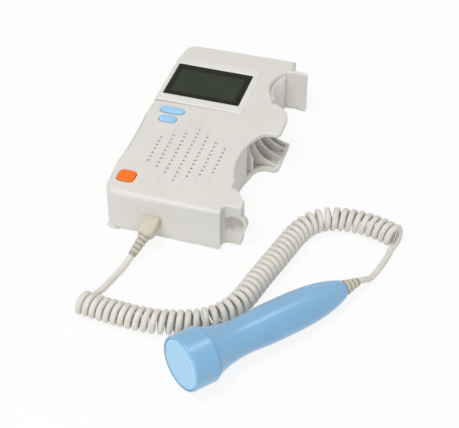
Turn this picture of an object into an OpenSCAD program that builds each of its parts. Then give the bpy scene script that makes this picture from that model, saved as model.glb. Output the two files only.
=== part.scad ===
// Fetal doppler: a hand-held unit lying on its back, its probe beside it on a curly cord.
// The origin is on the back face, at the middle of the main block.
// +X runs to the cradle side, +Y to the head end, +Z out of the front face.

/* [Body] */
// Length of the unit, from foot to head
body_l = 176; // [175:1:184]
// Thickness of the unit, from back to front
body_t = 33; // [33:0.5:36]
// Wall of the front housing
wall = 2.2; // [2:0.1:2.4]
// Height of the seam between the two shells
seam_h = 4.7; // [4.4:0.1:5]
// Thickness of the rear cover's floor
floor_t = 2.4; // [2.2:0.1:2.6]
// Radius of the left corner at the head
head_corner_r = 10; // [8:0.5:12]
// Radius of the left corner at the foot
foot_corner_r = 10; // [6:0.5:12]
// Length of the grip scoop on the left edge
scoop_l = 60; // [50:1:66]
// Depth of the grip scoop
scoop_depth = 1.8; // [1.4:0.1:2.2]
// Distance of the scoop's middle from the foot
scoop_y = 58; // [54:1:62]

/* [Cradle] */
// Reach of the cradle past the main block
cradle_reach = 15.5; // [14:0.5:17]
// Radius of the notch for the probe's head
head_notch_r = 27; // [26:0.1:27.4]
// Depth of the head notch into the front plate
head_notch_depth = 6.5; // [6:0.1:7]
// Distance of the head notch's middle from the head end
head_notch_y = 32; // [31:0.5:33]
// Step of the wall below the front plate's edge
notch_step = 2.7; // [2:0.1:3]
// Depth of that step below the front face
notch_step_z = 4; // [3.5:0.1:5]
// Radius of the finger notch
finger_notch_r = 58; // [56:0.5:60]
// Depth of the finger notch into the main block
finger_notch_depth = 4.8; // [4:0.1:5.2]
// Distance of the finger notch's middle from the foot
finger_notch_y = 56.5; // [55:0.5:58]
// Thickness of the end wall that the probe's face rests on
end_wall_t = 3; // [2.6:0.1:3.4]
// Distance of the end wall's crown from the head end
end_wall_y = 11; // [10.5:0.1:12]
// Radius of the end wall's outer curve
end_wall_r = 23; // [21:0.5:26]
// Reach of the end wall's crown past the main block
end_wall_reach = 6.5; // [5:0.5:8]
// Reach of the head shoulder past the main block
shoulder_reach = 3.5; // [3:0.1:4]
// Thickness of the plate over the handle trough
nose_t = 3; // [2.8:0.1:3.4]
// Length of that plate along the unit
nose_l = 35; // [34:0.5:36]
// Distance of that plate from the foot
nose_y = 88; // [87:0.5:89]
// Radius of the plate's corner towards the head
nose_head_r = 18; // [16:0.5:19]
// Radius of the plate's corner towards the foot
nose_foot_r = 4; // [3:0.5:6]
// Radius where the plate's foot edge runs into the finger notch
nose_blend_r = 8; // [6:0.5:9]
// Distance of the foot edge of the trough's floor from the foot
lobe_y = 85.5; // [84:0.5:87]
// Distance of the floor's head edge from the notch for the probe's head
lobe_gap = 1.5; // [1:0.1:2]
// Width of the trough inside the main block
trough_w = 7; // [6.5:0.1:7.5]
// Distance of the trough's foot end from the foot
trough_y = 72; // [71:0.5:73]
// Length of the trough along the unit
trough_l = 55; // [54:0.5:56]
// Number of ribs that carry the handle
rib_count = 5; // [3:1:6]
// Thickness of one rib
rib_t = 2.2; // [1.8:0.1:2.6]
// Height of a rib at the trough's wall
rib_top = 26; // [24:0.5:27]
// Radius of the hollow in the ribs
rib_hollow_r = 22; // [21:0.5:23]
// Height of that hollow's middle
rib_hollow_z = 26.2; // [26:0.1:27]
// Reach of that hollow's middle past the main block
rib_hollow_reach = 18; // [17.5:0.5:19]
// Reach of the tail block past the main block
tail_reach = 12; // [11:0.5:13]
// Length of the tail block
tail_l = 18; // [17:0.5:19]
// Distance of the tail block from the foot
tail_y = 8; // [7.5:0.5:8.5]
// Radius of the tail block's corner towards the head
tail_corner_r = 12; // [10:0.5:12]
// Radius where the tail block meets the main block
tail_fillet_r = 4; // [3:0.5:5]
// Radius of the tail hole
tail_hole_r = 6.4; // [6:0.1:6.6]
// Reach of the tail hole's middle past the main block
tail_hole_reach = 7.3; // [7:0.1:7.6]
// Height of the tail hole's middle
tail_hole_z = 18.3; // [18:0.1:19]
// Width of the ring wall round the tail hole
tail_ring_w = 2; // [1.6:0.1:2.4]
// Length of that ring wall
tail_ring_l = 4; // [3:0.5:5]

/* [Display] */
// Width of the raised bezel
bezel_w = 64; // [62:0.5:66]
// Length of the raised bezel
bezel_l = 54; // [52:0.5:56]
// Distance of the bezel from the head end
bezel_y = 19; // [18:0.5:21]
// Depth of the seat that bezel and lens lie in
bezel_seat = 1; // [0.8:0.1:1.1]
// Height of the bezel above the front face
bezel_proud = 0.5; // [0.3:0.1:0.8]
// Width of the lens
lens_w = 56; // [55:0.5:57]
// Length of the lens
lens_l = 38; // [37:0.5:39]
// Distance from the bezel's left edge to the lens
lens_inset = 3; // [2.8:0.1:3.5]
// Distance from the bezel's head edge to the lens
lens_drop = 8; // [7:0.5:9]
// Ledge that the lens rests on
lens_ledge = 1.5; // [1:0.1:2]
// Thickness of the display's glass
glass_t = 2.4; // [2:0.1:2.8]
// Thickness of the display's backlight
backlight_t = 3; // [2.5:0.1:3.4]
// Height of the foam frame over the glass
foam_t = 0.7; // [0.5:0.1:0.9]

/* [Buttons] */
// Width of the upper blue button
upper_button_w = 17.5; // [16:0.5:18]
// Length of the upper blue button
upper_button_l = 7; // [6.4:0.1:7.4]
// Width of the lower blue button
lower_button_w = 12.5; // [11:0.5:14]
// Length of the lower blue button
lower_button_l = 7.4; // [6.6:0.1:7.6]
// Distance of the blue buttons' middles from the left edge
blue_x = 16.5; // [16:0.5:18]
// Distance of the upper button's middle from the bezel
upper_button_drop = 10; // [9.5:0.1:11]
// Distance between the two blue buttons' middles
blue_pitch = 10; // [9.6:0.1:10.4]
// Width of the orange power button
power_w = 11.8; // [11:0.1:12.5]
// Length of the orange power button
power_l = 11.2; // [10.5:0.1:12]
// Corner radius of the power button
power_r = 3; // [2:0.5:4]
// Distance of the power button's middle from the left edge
power_x = 11; // [10.8:0.1:12]
// Distance of the power button's middle from the foot
power_y = 17; // [16.8:0.1:18]
// Height of a button above the front face
button_proud = 1.2; // [0.9:0.1:1.6]
// Travel of a button
button_travel = 0.7; // [0.4:0.1:0.8]
// Width of the rim that keeps a button in
button_rim = 0.8; // [0.6:0.1:0.9]
// Thickness of that rim
button_rim_t = 1.2; // [1:0.1:1.4]
// Diameter of the stem under a button
stem_d = 4; // [3:0.5:5]
// Length of that stem
stem_l = 1; // [0.8:0.1:1.2]

/* [Grille] */
// Distance between the grille's columns
grille_pitch = 7.5; // [7.2:0.1:7.6]
// Distance of the grille's middle column from the main block's right edge
grille_x = 38.5; // [38:0.5:39]
// Distance of the middle groove from the foot
grille_y = 8; // [7:0.5:10]
// Distance of the middle groove from the bezel
grille_drop = 11; // [10:0.5:13]
// Width of a groove
groove_w = 1.8; // [1.6:0.1:2]
// Depth of a groove
groove_depth = 0.3; // [0.2:0.1:0.6]
// Diameter of a sound hole
sound_hole_d = 1.6; // [1.4:0.1:1.8]
// Distance between sound holes
sound_hole_pitch = 4.3; // [4.1:0.1:4.5]

/* [Speaker] */
// Diameter of the speaker
speaker_d = 50; // [48:1:50]
// Width of the speaker's flange
flange_w = 3; // [2.5:0.5:3.5]
// Thickness of the speaker's flange
flange_t = 1.2; // [1:0.1:1.5]
// Thickness of the foam ring on the flange
gasket_t = 1; // [0.8:0.1:1.2]
// Depth of the speaker's basket below the flange
basket_depth = 9; // [8:0.5:10]
// Wall of the basket
basket_wall = 1; // [0.8:0.1:1.2]
// Diameter of the magnet
magnet_d = 26; // [24:1:28]
// Thickness of the magnet
magnet_t = 7; // [6:0.5:8]
// Thickness of the paper cone
cone_t = 0.6; // [0.5:0.1:0.8]

/* [Power] */
// Diameter of a cell
cell_d = 14.5; // [14:0.1:14.5]
// Length of a cell's case
cell_l = 49.5; // [48:0.5:49.5]
// Diameter of a cell's button
cell_nub_d = 5.5; // [5:0.5:6]
// Height of a cell's button
cell_nub_l = 1; // [0.8:0.1:1.2]
// Number of cells
cell_count = 3; // [2:1:3]
// Distance between cells
cell_pitch = 15; // [15:0.1:15.3]
// Distance of the cell bay from the head end
bay_y = 26; // [25:0.5:28]
// Room at each end of a cell for its contact
contact_room = 3.2; // [3:0.1:3.4]
// Thickness of a contact plate
contact_t = 0.4; // [0.3:0.1:0.5]
// Wall of the cell bay
bay_wall = 1.5; // [1.2:0.1:1.6]
// Distance from the cell bay to the trough's wall
bay_side = 0.85; // [0.7:0.05:1.2]
// Width of the battery door
door_w = 56; // [54:1:57]
// Reach of the door past the cell bay
door_reach = 7; // [5:0.5:8]
// Depth of the door's outer face below the back face
door_sunk = 0.2; // [0.2:0.1:0.4]
// Width of the tongues that run in the cover's grooves
tongue_w = 1.2; // [1:0.1:1.4]
// Thickness of those tongues
tongue_t = 0.8; // [0.7:0.1:0.9]

/* [Board] */
// Thickness of the circuit board
board_t = 1.6; // [1.4:0.1:1.8]
// Height of the circuit board's underside
board_z = 20; // [19.9:0.1:20.2]
// Gap between the circuit board and the walls
board_gap = 1.3; // [1:0.1:1.6]
// Width of a key switch
switch_w = 6; // [5.5:0.1:6.2]
// Height of a key switch's case
switch_h = 3.6; // [3.2:0.1:3.8]
// Diameter of a key switch's plunger
plunger_d = 3.2; // [3:0.1:3.5]
// Height of the chips
chip_h = 1.2; // [1:0.1:1.4]

/* [Screws] */
// Diameter of a screw post
post_d = 6; // [5.6:0.1:6]
// Diameter of a screw's shank
screw_d = 2.5; // [2.2:0.1:2.6]
// Length of a screw's shank
screw_l = 14; // [12:1:16]
// Diameter of a screw's head
screw_head_d = 4.6; // [4.2:0.1:4.8]
// Height of a screw's head
screw_head_h = 1.6; // [1.4:0.1:1.7]
// Depth of a screw's head below the back face
screw_sunk = 0.8; // [0.5:0.1:0.9]

/* [Socket and plug] */
// Distance of the socket's middle from the left edge
socket_x = 34; // [33:0.5:35]
// Height of the socket's middle
socket_z = 14.3; // [14:0.1:14.6]
// Width of the socket's metal case
socket_w = 9; // [8.6:0.1:9.4]
// Height of the socket's metal case
socket_h = 5; // [4.8:0.1:5.4]
// Depth of the socket
socket_l = 9; // [8.5:0.1:9.5]
// Wall of the socket's case
socket_wall = 0.5; // [0.4:0.1:0.6]
// Width of the plug's moulded grip
plug_w = 12.2; // [11.5:0.1:13]
// Height of the plug's moulded grip
plug_h = 8.6; // [8:0.1:9.2]
// Length of the plug's moulded grip
plug_l = 14; // [13:0.5:15]
// Corner radius of the plug's grip
plug_r = 2; // [1.5:0.1:2.5]
// Length of the plug's metal shell inside the socket
shell_l = 7; // [6.5:0.1:7.4]

/* [Cord] */
// Diameter of the cord
cord_d = 4.1; // [4:0.1:4.2]
// Outer diameter of the curls
coil_d = 16; // [15.5:0.1:16.5]
// Number of curls
curl_count = 51; // [48:1:51]
// Length of a strain relief
relief_l = 15; // [14:0.5:16]
// Largest diameter of a strain relief's rings
relief_d = 8; // [7.5:0.1:8.4]
// Number of rings on a strain relief
relief_rings = 4; // [3:1:5]

/* [Probe] */
// Diameter of the probe's head
head_d = 35; // [34.6:0.1:35]
// Length of the head's cap
head_l = 17; // [16:0.5:18]
// Rounding of the cap's rims
head_round = 1.3; // [1:0.1:1.3]
// Diameter of the face plate
face_d = 31.8; // [31:0.2:31.8]
// Thickness of the face plate
face_t = 1.5; // [1.2:0.1:1.8]
// Wall of the probe
probe_wall = 2; // [1.8:0.1:2.2]
// Length of the probe from face to tail
probe_l = 122; // [120:1:124]
// Diameter of the neck
neck_d = 22.8; // [22:0.2:23.6]
// Diameter of the handle at its fullest
handle_d = 24.6; // [24:0.2:25]
// Diameter of the tail's end
tail_d = 11; // [10:0.5:12]
// Tilt of the probe as it lies on head and handle
probe_tilt = 4.3; // [4.2:0.1:4.4]
// Turn of the probe away from the unit's long axis
probe_turn = 37.1; // [36.5:0.1:37.5]
// Diameter of the crystals
crystal_d = 22; // [20:0.5:24]
// Thickness of the crystals
crystal_t = 1; // [0.8:0.1:1.2]
// Length of the probe's board
probe_board_l = 52; // [48:1:56]

/* [Hidden] */

$fn = 48;
// Overrun of every cut
cut = 1;
// Gap between pieces that are seated in each other
seat = 0.15;
// Gap between pieces that move past each other
run = 0.25;
// Colours of the mouldings
shell_color = [0.84, 0.84, 0.82];
bezel_color = [0.92, 0.92, 0.91];
cord_color = [0.84, 0.83, 0.8];
plug_color = [0.8, 0.79, 0.72];
blue_color = [0.62, 0.82, 0.98];
probe_color = [0.49, 0.71, 0.87];
metal_color = [0.75, 0.75, 0.77];
board_color = [0.1, 0.4, 0.2];

// The cells' bay and the trough beside it set the width of the main block
bay_half = cell_l / 2 + cell_nub_l / 2 + contact_room;
trough_x = bay_half + bay_wall + bay_side + wall;
right_x = trough_x + trough_w;
left_x = -right_x;
body_w = 2 * right_x;
foot_y = -body_l / 2;
head_y = body_l / 2;
inner_top = body_t - wall;
cradle_x = right_x + cradle_reach;
tail_y0 = foot_y + tail_y;
end_wall_y1 = head_y - end_wall_y;
end_wall_middle = [right_x + end_wall_reach, end_wall_y1 - end_wall_r];
head_notch = [right_x - head_notch_depth + head_notch_r, head_y - head_notch_y];
finger_notch = [right_x - finger_notch_depth + finger_notch_r, foot_y + finger_notch_y];
seat_y = head_y - bezel_y - bezel_l;
lens = [left_x + lens_inset, head_y - bezel_y - lens_drop - lens_l];
lens_top = body_t - bezel_seat;
blue_middle = [left_x + blue_x, seat_y - upper_button_drop];
lower_middle = blue_middle - [0, blue_pitch];
power_middle = [left_x + power_x, foot_y + power_y];
groove_l = seat_y - grille_drop - foot_y - grille_y;
grille = [right_x - grille_x, foot_y + grille_y + groove_l / 2];

// Distances of the screw posts in from the body's edges, and of the middle two
// below the lower button and below the bezel
post_in = 6.4;
post_mid_in = 12.4;
post_end = 6;
post_left_drop = 8;
post_right_drop = 19;
posts = [
    [left_x + post_in, foot_y + post_end],
    [right_x - post_in, foot_y + post_end],
    [left_x + post_in, lower_middle[1] - post_left_drop],
    [right_x - post_mid_in, seat_y - post_right_drop],
    [left_x + post_in, head_y - post_end],
    [right_x - post_in, head_y - post_end]
];

// Rounded corner of a plate: the waste outside its arc
module corner_waste(r) {
    if (r > 0) {
        difference() {
            translate([-cut, -cut]) square(r + cut);
            translate([r, r]) circle(r);
        }
    }
}

// Flat plate from corner a to corner b, with the radii of its corners
// from the lower left one round to the upper left one
module plate(a, b, radii = [0, 0, 0, 0]) {
    difference() {
        translate(a) square(b - a);
        translate(a) corner_waste(radii[0]);
        translate([b[0], a[1]]) mirror([1, 0]) corner_waste(radii[1]);
        translate(b) rotate(180) corner_waste(radii[2]);
        translate([a[0], b[1]]) mirror([0, 1]) corner_waste(radii[3]);
    }
}

// Pill or rounded square around a middle point
module pill(middle, w, l, r) {
    half = [w / 2, l / 2];
    plate(middle - half, middle + half, [r, r, r, r]);
}

module head_notch_plan(r) {
    translate(head_notch) circle(r, $fn = 96);
}

module finger_notch_plan(r) {
    translate(finger_notch) circle(r, $fn = 144);
}

module block_plan(inset = 0) {
    plate(
        [left_x + inset, foot_y + inset], [right_x - inset, head_y - inset],
        [foot_corner_r - inset, 0, 0, head_corner_r - inset]
    );
}

module end_wall_plan() {
    intersection() {
        difference() {
            translate(end_wall_middle) circle(end_wall_r, $fn = 96);
            translate(end_wall_middle) circle(end_wall_r - end_wall_t, $fn = 96);
        }
        plate([trough_x + wall, end_wall_middle[1]], [cradle_x, end_wall_y1]);
    }
}

module tail_plan(reach) {
    corner = right_x + reach;
    plate([0, tail_y0], [corner, tail_y0 + tail_l], [0, wall / 2, tail_corner_r, 0]);
    translate([right_x, tail_y0]) mirror([0, 1]) corner_fillet(tail_fillet_r);
}

// Material that rounds an inner corner, towards +X +Y
module corner_fillet(r) {
    difference() {
        square(r);
        translate([r, r]) circle(r);
    }
}

// Strip inside a foot edge at height y, rounded where the edge runs into the finger notch
module notch_blend(y, inset = 0) {
    r = nose_blend_r + inset;
    edge = finger_notch_r + inset;
    my = y - r;
    mx = finger_notch[0] - sqrt(pow(edge - r, 2) - pow(my - finger_notch[1], 2));
    touch = atan2(my - finger_notch[1], mx - finger_notch[0]);
    difference() {
        plate([trough_x, my], [mx, y + cut]);
        finger_notch_plan(edge);
    }
    polygon(concat(
        arc([mx, my], r, touch, 90),
        [[mx, y + cut], [trough_x, y + cut], [trough_x, my + r * sin(touch)]]
    ));
}

module nose_plan() {
    y = foot_y + nose_y;
    difference() {
        plate([0, y], [cradle_x, y + nose_l], [0, nose_foot_r, nose_head_r, 0]);
        head_notch_plan(head_notch_r);
    }
    notch_blend(y);
}

// Outline of the trough's floor past the main block
module lobe_plan(inset = 0) {
    y = foot_y + lobe_y + inset;
    difference() {
        plate([trough_x, y], [cradle_x - inset, lobe_y1 - inset], [0, nose_foot_r - inset, 0, 0]);
        head_notch_plan(head_notch_r + lobe_gap + inset);
    }
    notch_blend(y, inset);
}

module shoulder_plan() {
    plate([0, end_wall_y1 - end_wall_t], [right_x + shoulder_reach, head_y]);
}

// Outline of the housing's full-height walls
module wall_plan() {
    difference() {
        union() {
            block_plan();
            shoulder_plan();
            tail_plan(tail_reach);
        }
        head_notch_plan(head_notch_r);
        finger_notch_plan(finger_notch_r);
    }
    end_wall_plan();
}

// Room inside the housing's walls
module room_plan() {
    difference() {
        block_plan(wall);
        head_notch_plan(head_notch_r + wall);
        finger_notch_plan(finger_notch_r + wall);
        translate([trough_x - wall, foot_y + trough_y - wall]) square([trough_w + wall, trough_l]);
        translate([trough_x - wall, head_y - head_notch_y]) square([trough_w + wall, head_notch_r]);
    }
}

// The scoop is a wide cylinder whose axis leans across the left front edge
module scoop(grow = 0) {
    r = (pow(scoop_l / 2, 2) + pow(scoop_depth, 2)) / (2 * scoop_depth);
    translate([left_x, foot_y + scoop_y, body_t])
        rotate([0, 45, 0])
            translate([scoop_depth - r, 0, 0])
                cylinder(h = body_w, r = r + grow, center = true, $fn = 144);
}

module post_row(d, z0, z1) {
    for (p = posts)
        translate([p[0], p[1], z0]) cylinder(h = z1 - z0, d = d);
}

module sound_holes() {
    // Length of each column's row of holes as a share of the middle groove
    row_shares = [0.67, 0.52, 0.42, 0.32];
    for (column = [-3:3]) {
        count = floor(groove_l * row_shares[abs(column)] / sound_hole_pitch) + 1;
        x = grille[0] + column * grille_pitch;
        for (i = [0:count - 1]) {
            y = grille[1] + (i - (count - 1) / 2) * sound_hole_pitch;
            translate([x, y, inner_top - cut]) cylinder(h = wall + 2 * cut, d = sound_hole_d, $fn = 16);
        }
    }
}

module grooves() {
    // Length of each groove as a share of the middle one
    groove_shares = [1, 0.88, 0.72, 0.55];
    for (column = [-3:3]) {
        l = groove_l * groove_shares[abs(column)];
        x = grille[0] + column * grille_pitch;
        translate([0, 0, body_t - groove_depth])
            linear_extrude(groove_depth + cut)
                pill([x, grille[1]], groove_w, l, groove_w / 2);
    }
}

module button_hole(middle, w, l, r) {
    translate([0, 0, inner_top - cut])
        linear_extrude(wall + 2 * cut)
            pill(middle, w + 2 * run, l + 2 * run, r + run);
}

// Upright outline of the wall round the tail hole: a ring whose side runs down to the seam
module tail_ring_shape() {
    r = tail_hole_r + tail_ring_w;
    middle = [right_x + tail_hole_reach, tail_hole_z];
    foot = [right_x + tail_reach, seam_h];
    way = foot - middle;
    touch = atan2(way[1], way[0]) + acos(r / norm(way));
    translate(middle) circle(r);
    polygon([middle, [middle[0], foot[1]], foot, middle + r * [cos(touch), sin(touch)]]);
}

module tail_hole() {
    translate([right_x + tail_hole_reach, tail_y0 - cut, tail_hole_z])
        rotate([-90, 0, 0]) cylinder(h = tail_l + 2 * cut, r = tail_hole_r);
}

module front_housing() {
    color(shell_color)
    difference() {
        union() {
            translate([0, 0, seam_h]) linear_extrude(body_t - seam_h) wall_plan();
            translate([0, 0, body_t - nose_t]) linear_extrude(nose_t) nose_plan();
            translate([0, 0, seam_h]) linear_extrude(body_t - notch_step_z - seam_h) notch_ledge_plan();
            translate([0, tail_y0 + tail_ring_l, 0])
                rotate([90, 0, 0]) linear_extrude(tail_ring_l) tail_ring_shape();
        }
        difference() {
            translate([0, 0, seam_h - cut]) linear_extrude(inner_top - seam_h + cut) room_plan();
            scoop(wall);
            post_row(post_d, seam_h - 2 * cut, body_t);
        }
        translate([0, 0, -cut]) linear_extrude(body_t - nose_t + cut) trough_plan();
        translate([0, 0, seam_h - cut]) post_bores();
        scoop();
        tail_hole();
        display_cuts();
        button_hole(blue_middle, upper_button_w, upper_button_l, upper_button_l / 2);
        button_hole(lower_middle, lower_button_w, lower_button_l, lower_button_l / 2);
        button_hole(power_middle, power_w, power_l, power_r);
        grooves();
        sound_holes();
        socket_hole();
    }
}

// Wall below the front plate's edge in the head notch
module notch_ledge_plan() {
    difference() {
        intersection() {
            head_notch_plan(head_notch_r + wall / 2);
            plate([0, foot_y + trough_y + trough_l], [right_x, end_wall_y1 - end_wall_t]);
        }
        head_notch_plan(head_notch_r - notch_step);
    }
}

module trough_plan() {
    translate([trough_x, foot_y + trough_y]) square([cradle_reach + trough_w + cut, trough_l]);
}

module post_bores() {
    for (p = posts)
        translate([p[0], p[1], 0]) cylinder(h = screw_l, d = screw_d + seat);
}

module display_cuts() {
    translate([left_x - cut, seat_y, lens_top]) cube([bezel_w + cut, bezel_l, bezel_seat + cut]);
    translate([lens[0] + lens_ledge, lens[1] + lens_ledge, inner_top - cut])
        cube([lens_w - 2 * lens_ledge, lens_l - 2 * lens_ledge, wall + 2 * cut]);
}

module socket_hole() {
    x = left_x + socket_x;
    translate([x - (socket_w / 2 + run), foot_y - cut, socket_z - (socket_h / 2 + run)])
        cube([socket_w + 2 * run, wall + 2 * cut, socket_h + 2 * run]);
}

bay_y1 = head_y - bay_y;
bay_l = cell_count * cell_pitch;
cell_z = floor_t + run + cell_d / 2;
bay_top = cell_z + cell_d / 2 + run;
door_y0 = bay_y1 - bay_l - door_reach;
tongue_z = (floor_t - tongue_t) / 2;
lobe_y1 = foot_y + trough_y + trough_l;

// Outline of the rear cover, with the lobe under the handle trough
module cover_plan() {
    difference() {
        union() {
            block_plan();
            shoulder_plan();
            tail_plan(tail_reach);
        }
        finger_notch_plan(finger_notch_r);
        intersection() {
            head_notch_plan(head_notch_r - notch_step);
            plate([0, lobe_y1], [cradle_x + cut, end_wall_y1 - end_wall_t]);
        }
    }
    end_wall_plan();
    lobe_plan();
}

// Sunk floor of the handle trough, inside the rim of the cover
module lobe_floor_plan() {
    lobe_plan(wall);
    difference() {
        plate([trough_x, lobe_y1 - trough_l + wall], [right_x - wall, foot_y + lobe_y + wall + cut]);
        finger_notch_plan(finger_notch_r + wall);
    }
}

// Ribs across the trough, hollowed where the handle lies
module ribs() {
    pitch = (trough_l - 2 * wall) / rib_count;
    for (i = [0:rib_count - 1]) {
        y = lobe_y1 - wall - pitch * (i + 0.5);
        intersection() {
            translate([0, y + rib_t / 2, 0]) rotate([90, 0, 0]) linear_extrude(rib_t) difference() {
                plate([trough_x + seat, 0], [cradle_x - wall / 2, rib_top]);
                translate([right_x + rib_hollow_reach, rib_hollow_z]) circle(rib_hollow_r, $fn = 96);
            }
            linear_extrude(rib_top) union() {
                lobe_plan(wall / 2);
                difference() {
                    plate([trough_x, lobe_y1 - trough_l], [right_x, lobe_y1]);
                    finger_notch_plan(finger_notch_r + wall / 2);
                }
            }
        }
    }
}

module door_way(grow) {
    half = door_w / 2 + grow;
    translate([-half, door_y0 - grow, -cut]) cube([2 * half, body_l, seam_h + 2 * cut]);
    translate([-half - tongue_w, door_y0 - grow, tongue_z - grow / 2])
        cube([2 * (half + tongue_w), body_l, tongue_t + grow]);
}

module rear_cover() {
    color(shell_color)
    difference() {
        union() {
            difference() {
                linear_extrude(seam_h) cover_plan();
                difference() {
                    translate([0, 0, floor_t]) linear_extrude(seam_h) room_plan();
                    post_row(post_d, 0, seam_h);
                }
                translate([0, 0, floor_t]) linear_extrude(seam_h) lobe_floor_plan();
            }
            translate([-bay_half - bay_wall, bay_y1 - bay_l - bay_wall, floor_t])
                cube([2 * (bay_half + bay_wall), bay_l + 2 * bay_wall, bay_top + bay_wall - floor_t]);
            ribs();
        }
        translate([-bay_half, bay_y1 - bay_l, floor_t - cut])
            cube([2 * bay_half, bay_l, bay_top - floor_t + cut]);
        door_way(run);
        tail_hole();
        post_row(screw_d + seat, -cut, seam_h + cut);
        post_row(screw_head_d + 2 * run, -cut, screw_sunk + screw_head_h);
    }
}

module battery_door() {
    half = door_w / 2;
    color(shell_color) {
        translate([-half, door_y0, door_sunk])
            cube([2 * half, head_y - door_y0, floor_t - 2 * door_sunk]);
        translate([-half - tongue_w + run, door_y0, tongue_z])
            cube([2 * (half + tongue_w - run), head_y - door_y0, tongue_t]);
        translate([-half, head_y - wall, door_sunk]) cube([2 * half, wall, seam_h - door_sunk - run]);
    }
}

module display_bezel() {
    color(bezel_color)
    translate([0, 0, lens_top]) linear_extrude(bezel_seat + bezel_proud) difference() {
        plate([left_x, seat_y + seat], [left_x + bezel_w - seat, seat_y + bezel_l - seat]);
        plate(lens, lens + [lens_w, lens_l]);
    }
}

module display_window() {
    color([0.16, 0.2, 0.14])
    translate([0, 0, lens_top]) linear_extrude(bezel_seat)
        plate(lens + [seat, seat], lens + [lens_w - seat, lens_l - seat]);
}

// Layers under the lens, from the foam down to the backlight
foam_z = inner_top - foam_t;
glass_z = foam_z - glass_t;
backlight_z = glass_z - backlight_t;
board_top = board_z + board_t;

module lcd_foam() {
    color([0.2, 0.2, 0.2])
    translate([0, 0, foam_z]) linear_extrude(foam_t) difference() {
        plate(lens, lens + [lens_w, lens_l]);
        plate(lens + [lens_ledge, lens_ledge], lens + [lens_w - lens_ledge, lens_l - lens_ledge]);
    }
}

module lcd_glass() {
    color([0.3, 0.36, 0.26])
    translate([lens[0], lens[1], glass_z]) cube([lens_w, lens_l, glass_t]);
}

module lcd_backlight() {
    color("white")
    translate([lens[0], lens[1], backlight_z]) cube([lens_w, lens_l, backlight_t]);
}

// Pins between the display and the board, held in a plastic strip
pin_count = 12;
pin_pitch = 2.54;
pin_w = 0.6;
strip_w = 2.5;
strip_h = 1.5;

module lcd_pins() {
    pin_row = (pin_count - 1) * pin_pitch;
    middle = lens[0] + lens_w / 2;
    y = lens[1] + lens_l - strip_w;
    color(metal_color) {
        for (i = [0:pin_count - 1])
            translate([middle - pin_row / 2 + i * pin_pitch - pin_w / 2, y - pin_w / 2, board_top])
                cube([pin_w, pin_w, backlight_z - board_top]);
        translate([middle - pin_row / 2 - pin_pitch / 2, y - strip_w / 2, board_top])
            cube([pin_row + pin_pitch, strip_w, strip_h]);
    }
}

// The board reaches from wall to wall and goes round the speaker
speaker_room = 1.5;
speaker_r = speaker_d / 2 + speaker_room;
board_x0 = left_x + wall + board_gap;
board_x1 = trough_x - wall - board_gap;
board_y0 = foot_y + wall + board_gap;
board_y1 = head_y - wall - board_gap;

module board_plan() {
    difference() {
        plate([board_x0, board_y0], [board_x1, board_y1]);
        translate(grille) circle(speaker_r, $fn = 96);
        translate(grille - [0, speaker_r]) square([board_x1 - board_x0, 2 * speaker_r]);
        for (p = posts)
            translate(p) circle(d = post_d + 2 * run);
        for (p = [posts[0], posts[1], posts[4], posts[5]])
            corner_gap(p, [sign(p[0]) * body_w / 2, sign(p[1]) * body_l / 2]);
    }
}

// Room from a corner post out to the body's corner
module corner_gap(p, corner) {
    translate([min(p[0], corner[0]), min(p[1], corner[1])])
        square([abs(corner[0] - p[0]), abs(corner[1] - p[1])]);
}

module main_board() {
    color(board_color)
    translate([0, 0, board_z]) linear_extrude(board_t) board_plan();
}

// The board's clear stretches, at the foot, between speaker and display, and at the head
board_rows = [
    [board_y0, grille[1] - speaker_r],
    [grille[1] + speaker_r, lens[1]],
    [lens[1] + lens_l, board_y1]
];
// Chips on each stretch as shares of it: middle across, middle along, width and length
chip_shares = [
    [[0.583, 0.42, 0.152, 0.35], [0.856, 0.42, 0.121, 0.4]],
    [[0.583, 0.48, 0.18, 0.35], [0.81, 0.56, 0.106, 0.29]],
    [[0.553, 0.55, 0.212, 0.42], [0.25, 0.64, 0.121, 0.26]]
];

module board_chips() {
    w = board_x1 - board_x0;
    color([0.12, 0.12, 0.13])
    for (i = [0:len(board_rows) - 1])
        for (c = chip_shares[i]) {
            y0 = board_rows[i][0];
            l = board_rows[i][1] - y0;
            translate([board_x0 + (c[0] - c[2] / 2) * w, y0 + (c[1] - c[3] / 2) * l, board_top])
                cube([c[2] * w, c[3] * l, chip_h]);
        }
}

rim_top = inner_top - run;
stem_z = rim_top - button_rim_t - stem_l;

module tact_switches() {
    plunger_top = stem_z - button_travel - seat / 2;
    color([0.15, 0.15, 0.16])
    for (p = [blue_middle, lower_middle, power_middle]) {
        translate([p[0] - switch_w / 2, p[1] - switch_w / 2, board_top])
            cube([switch_w, switch_w, switch_h]);
        translate([p[0], p[1], board_top]) cylinder(h = plunger_top - board_top, d = plunger_d);
    }
}

// Button cap with the rim under the front plate and the stem over its switch
module button(middle, w, l, r) {
    translate([0, 0, rim_top]) linear_extrude(body_t + button_proud - rim_top) pill(middle, w, l, r);
    translate([0, 0, rim_top - button_rim_t])
        linear_extrude(button_rim_t)
            pill(middle, w + 2 * button_rim, l + 2 * button_rim, r + button_rim);
    translate([middle[0], middle[1], stem_z]) cylinder(h = stem_l, d = stem_d);
}

module upper_button() {
    color(blue_color) button(blue_middle, upper_button_w, upper_button_l, upper_button_l / 2);
}

module lower_button() {
    color(blue_color) button(lower_middle, lower_button_w, lower_button_l, lower_button_l / 2);
}

module power_button() {
    color([0.98, 0.5, 0.12]) button(power_middle, power_w, power_l, power_r);
}

// Speaker, stacked down from the foam ring that seals it to the front plate
flange_z = inner_top - gasket_t - flange_t;
basket_z = flange_z - basket_depth;
throat_r = magnet_d / 2;

module at_speaker(z) {
    translate([grille[0], grille[1], z]) children();
}

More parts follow.
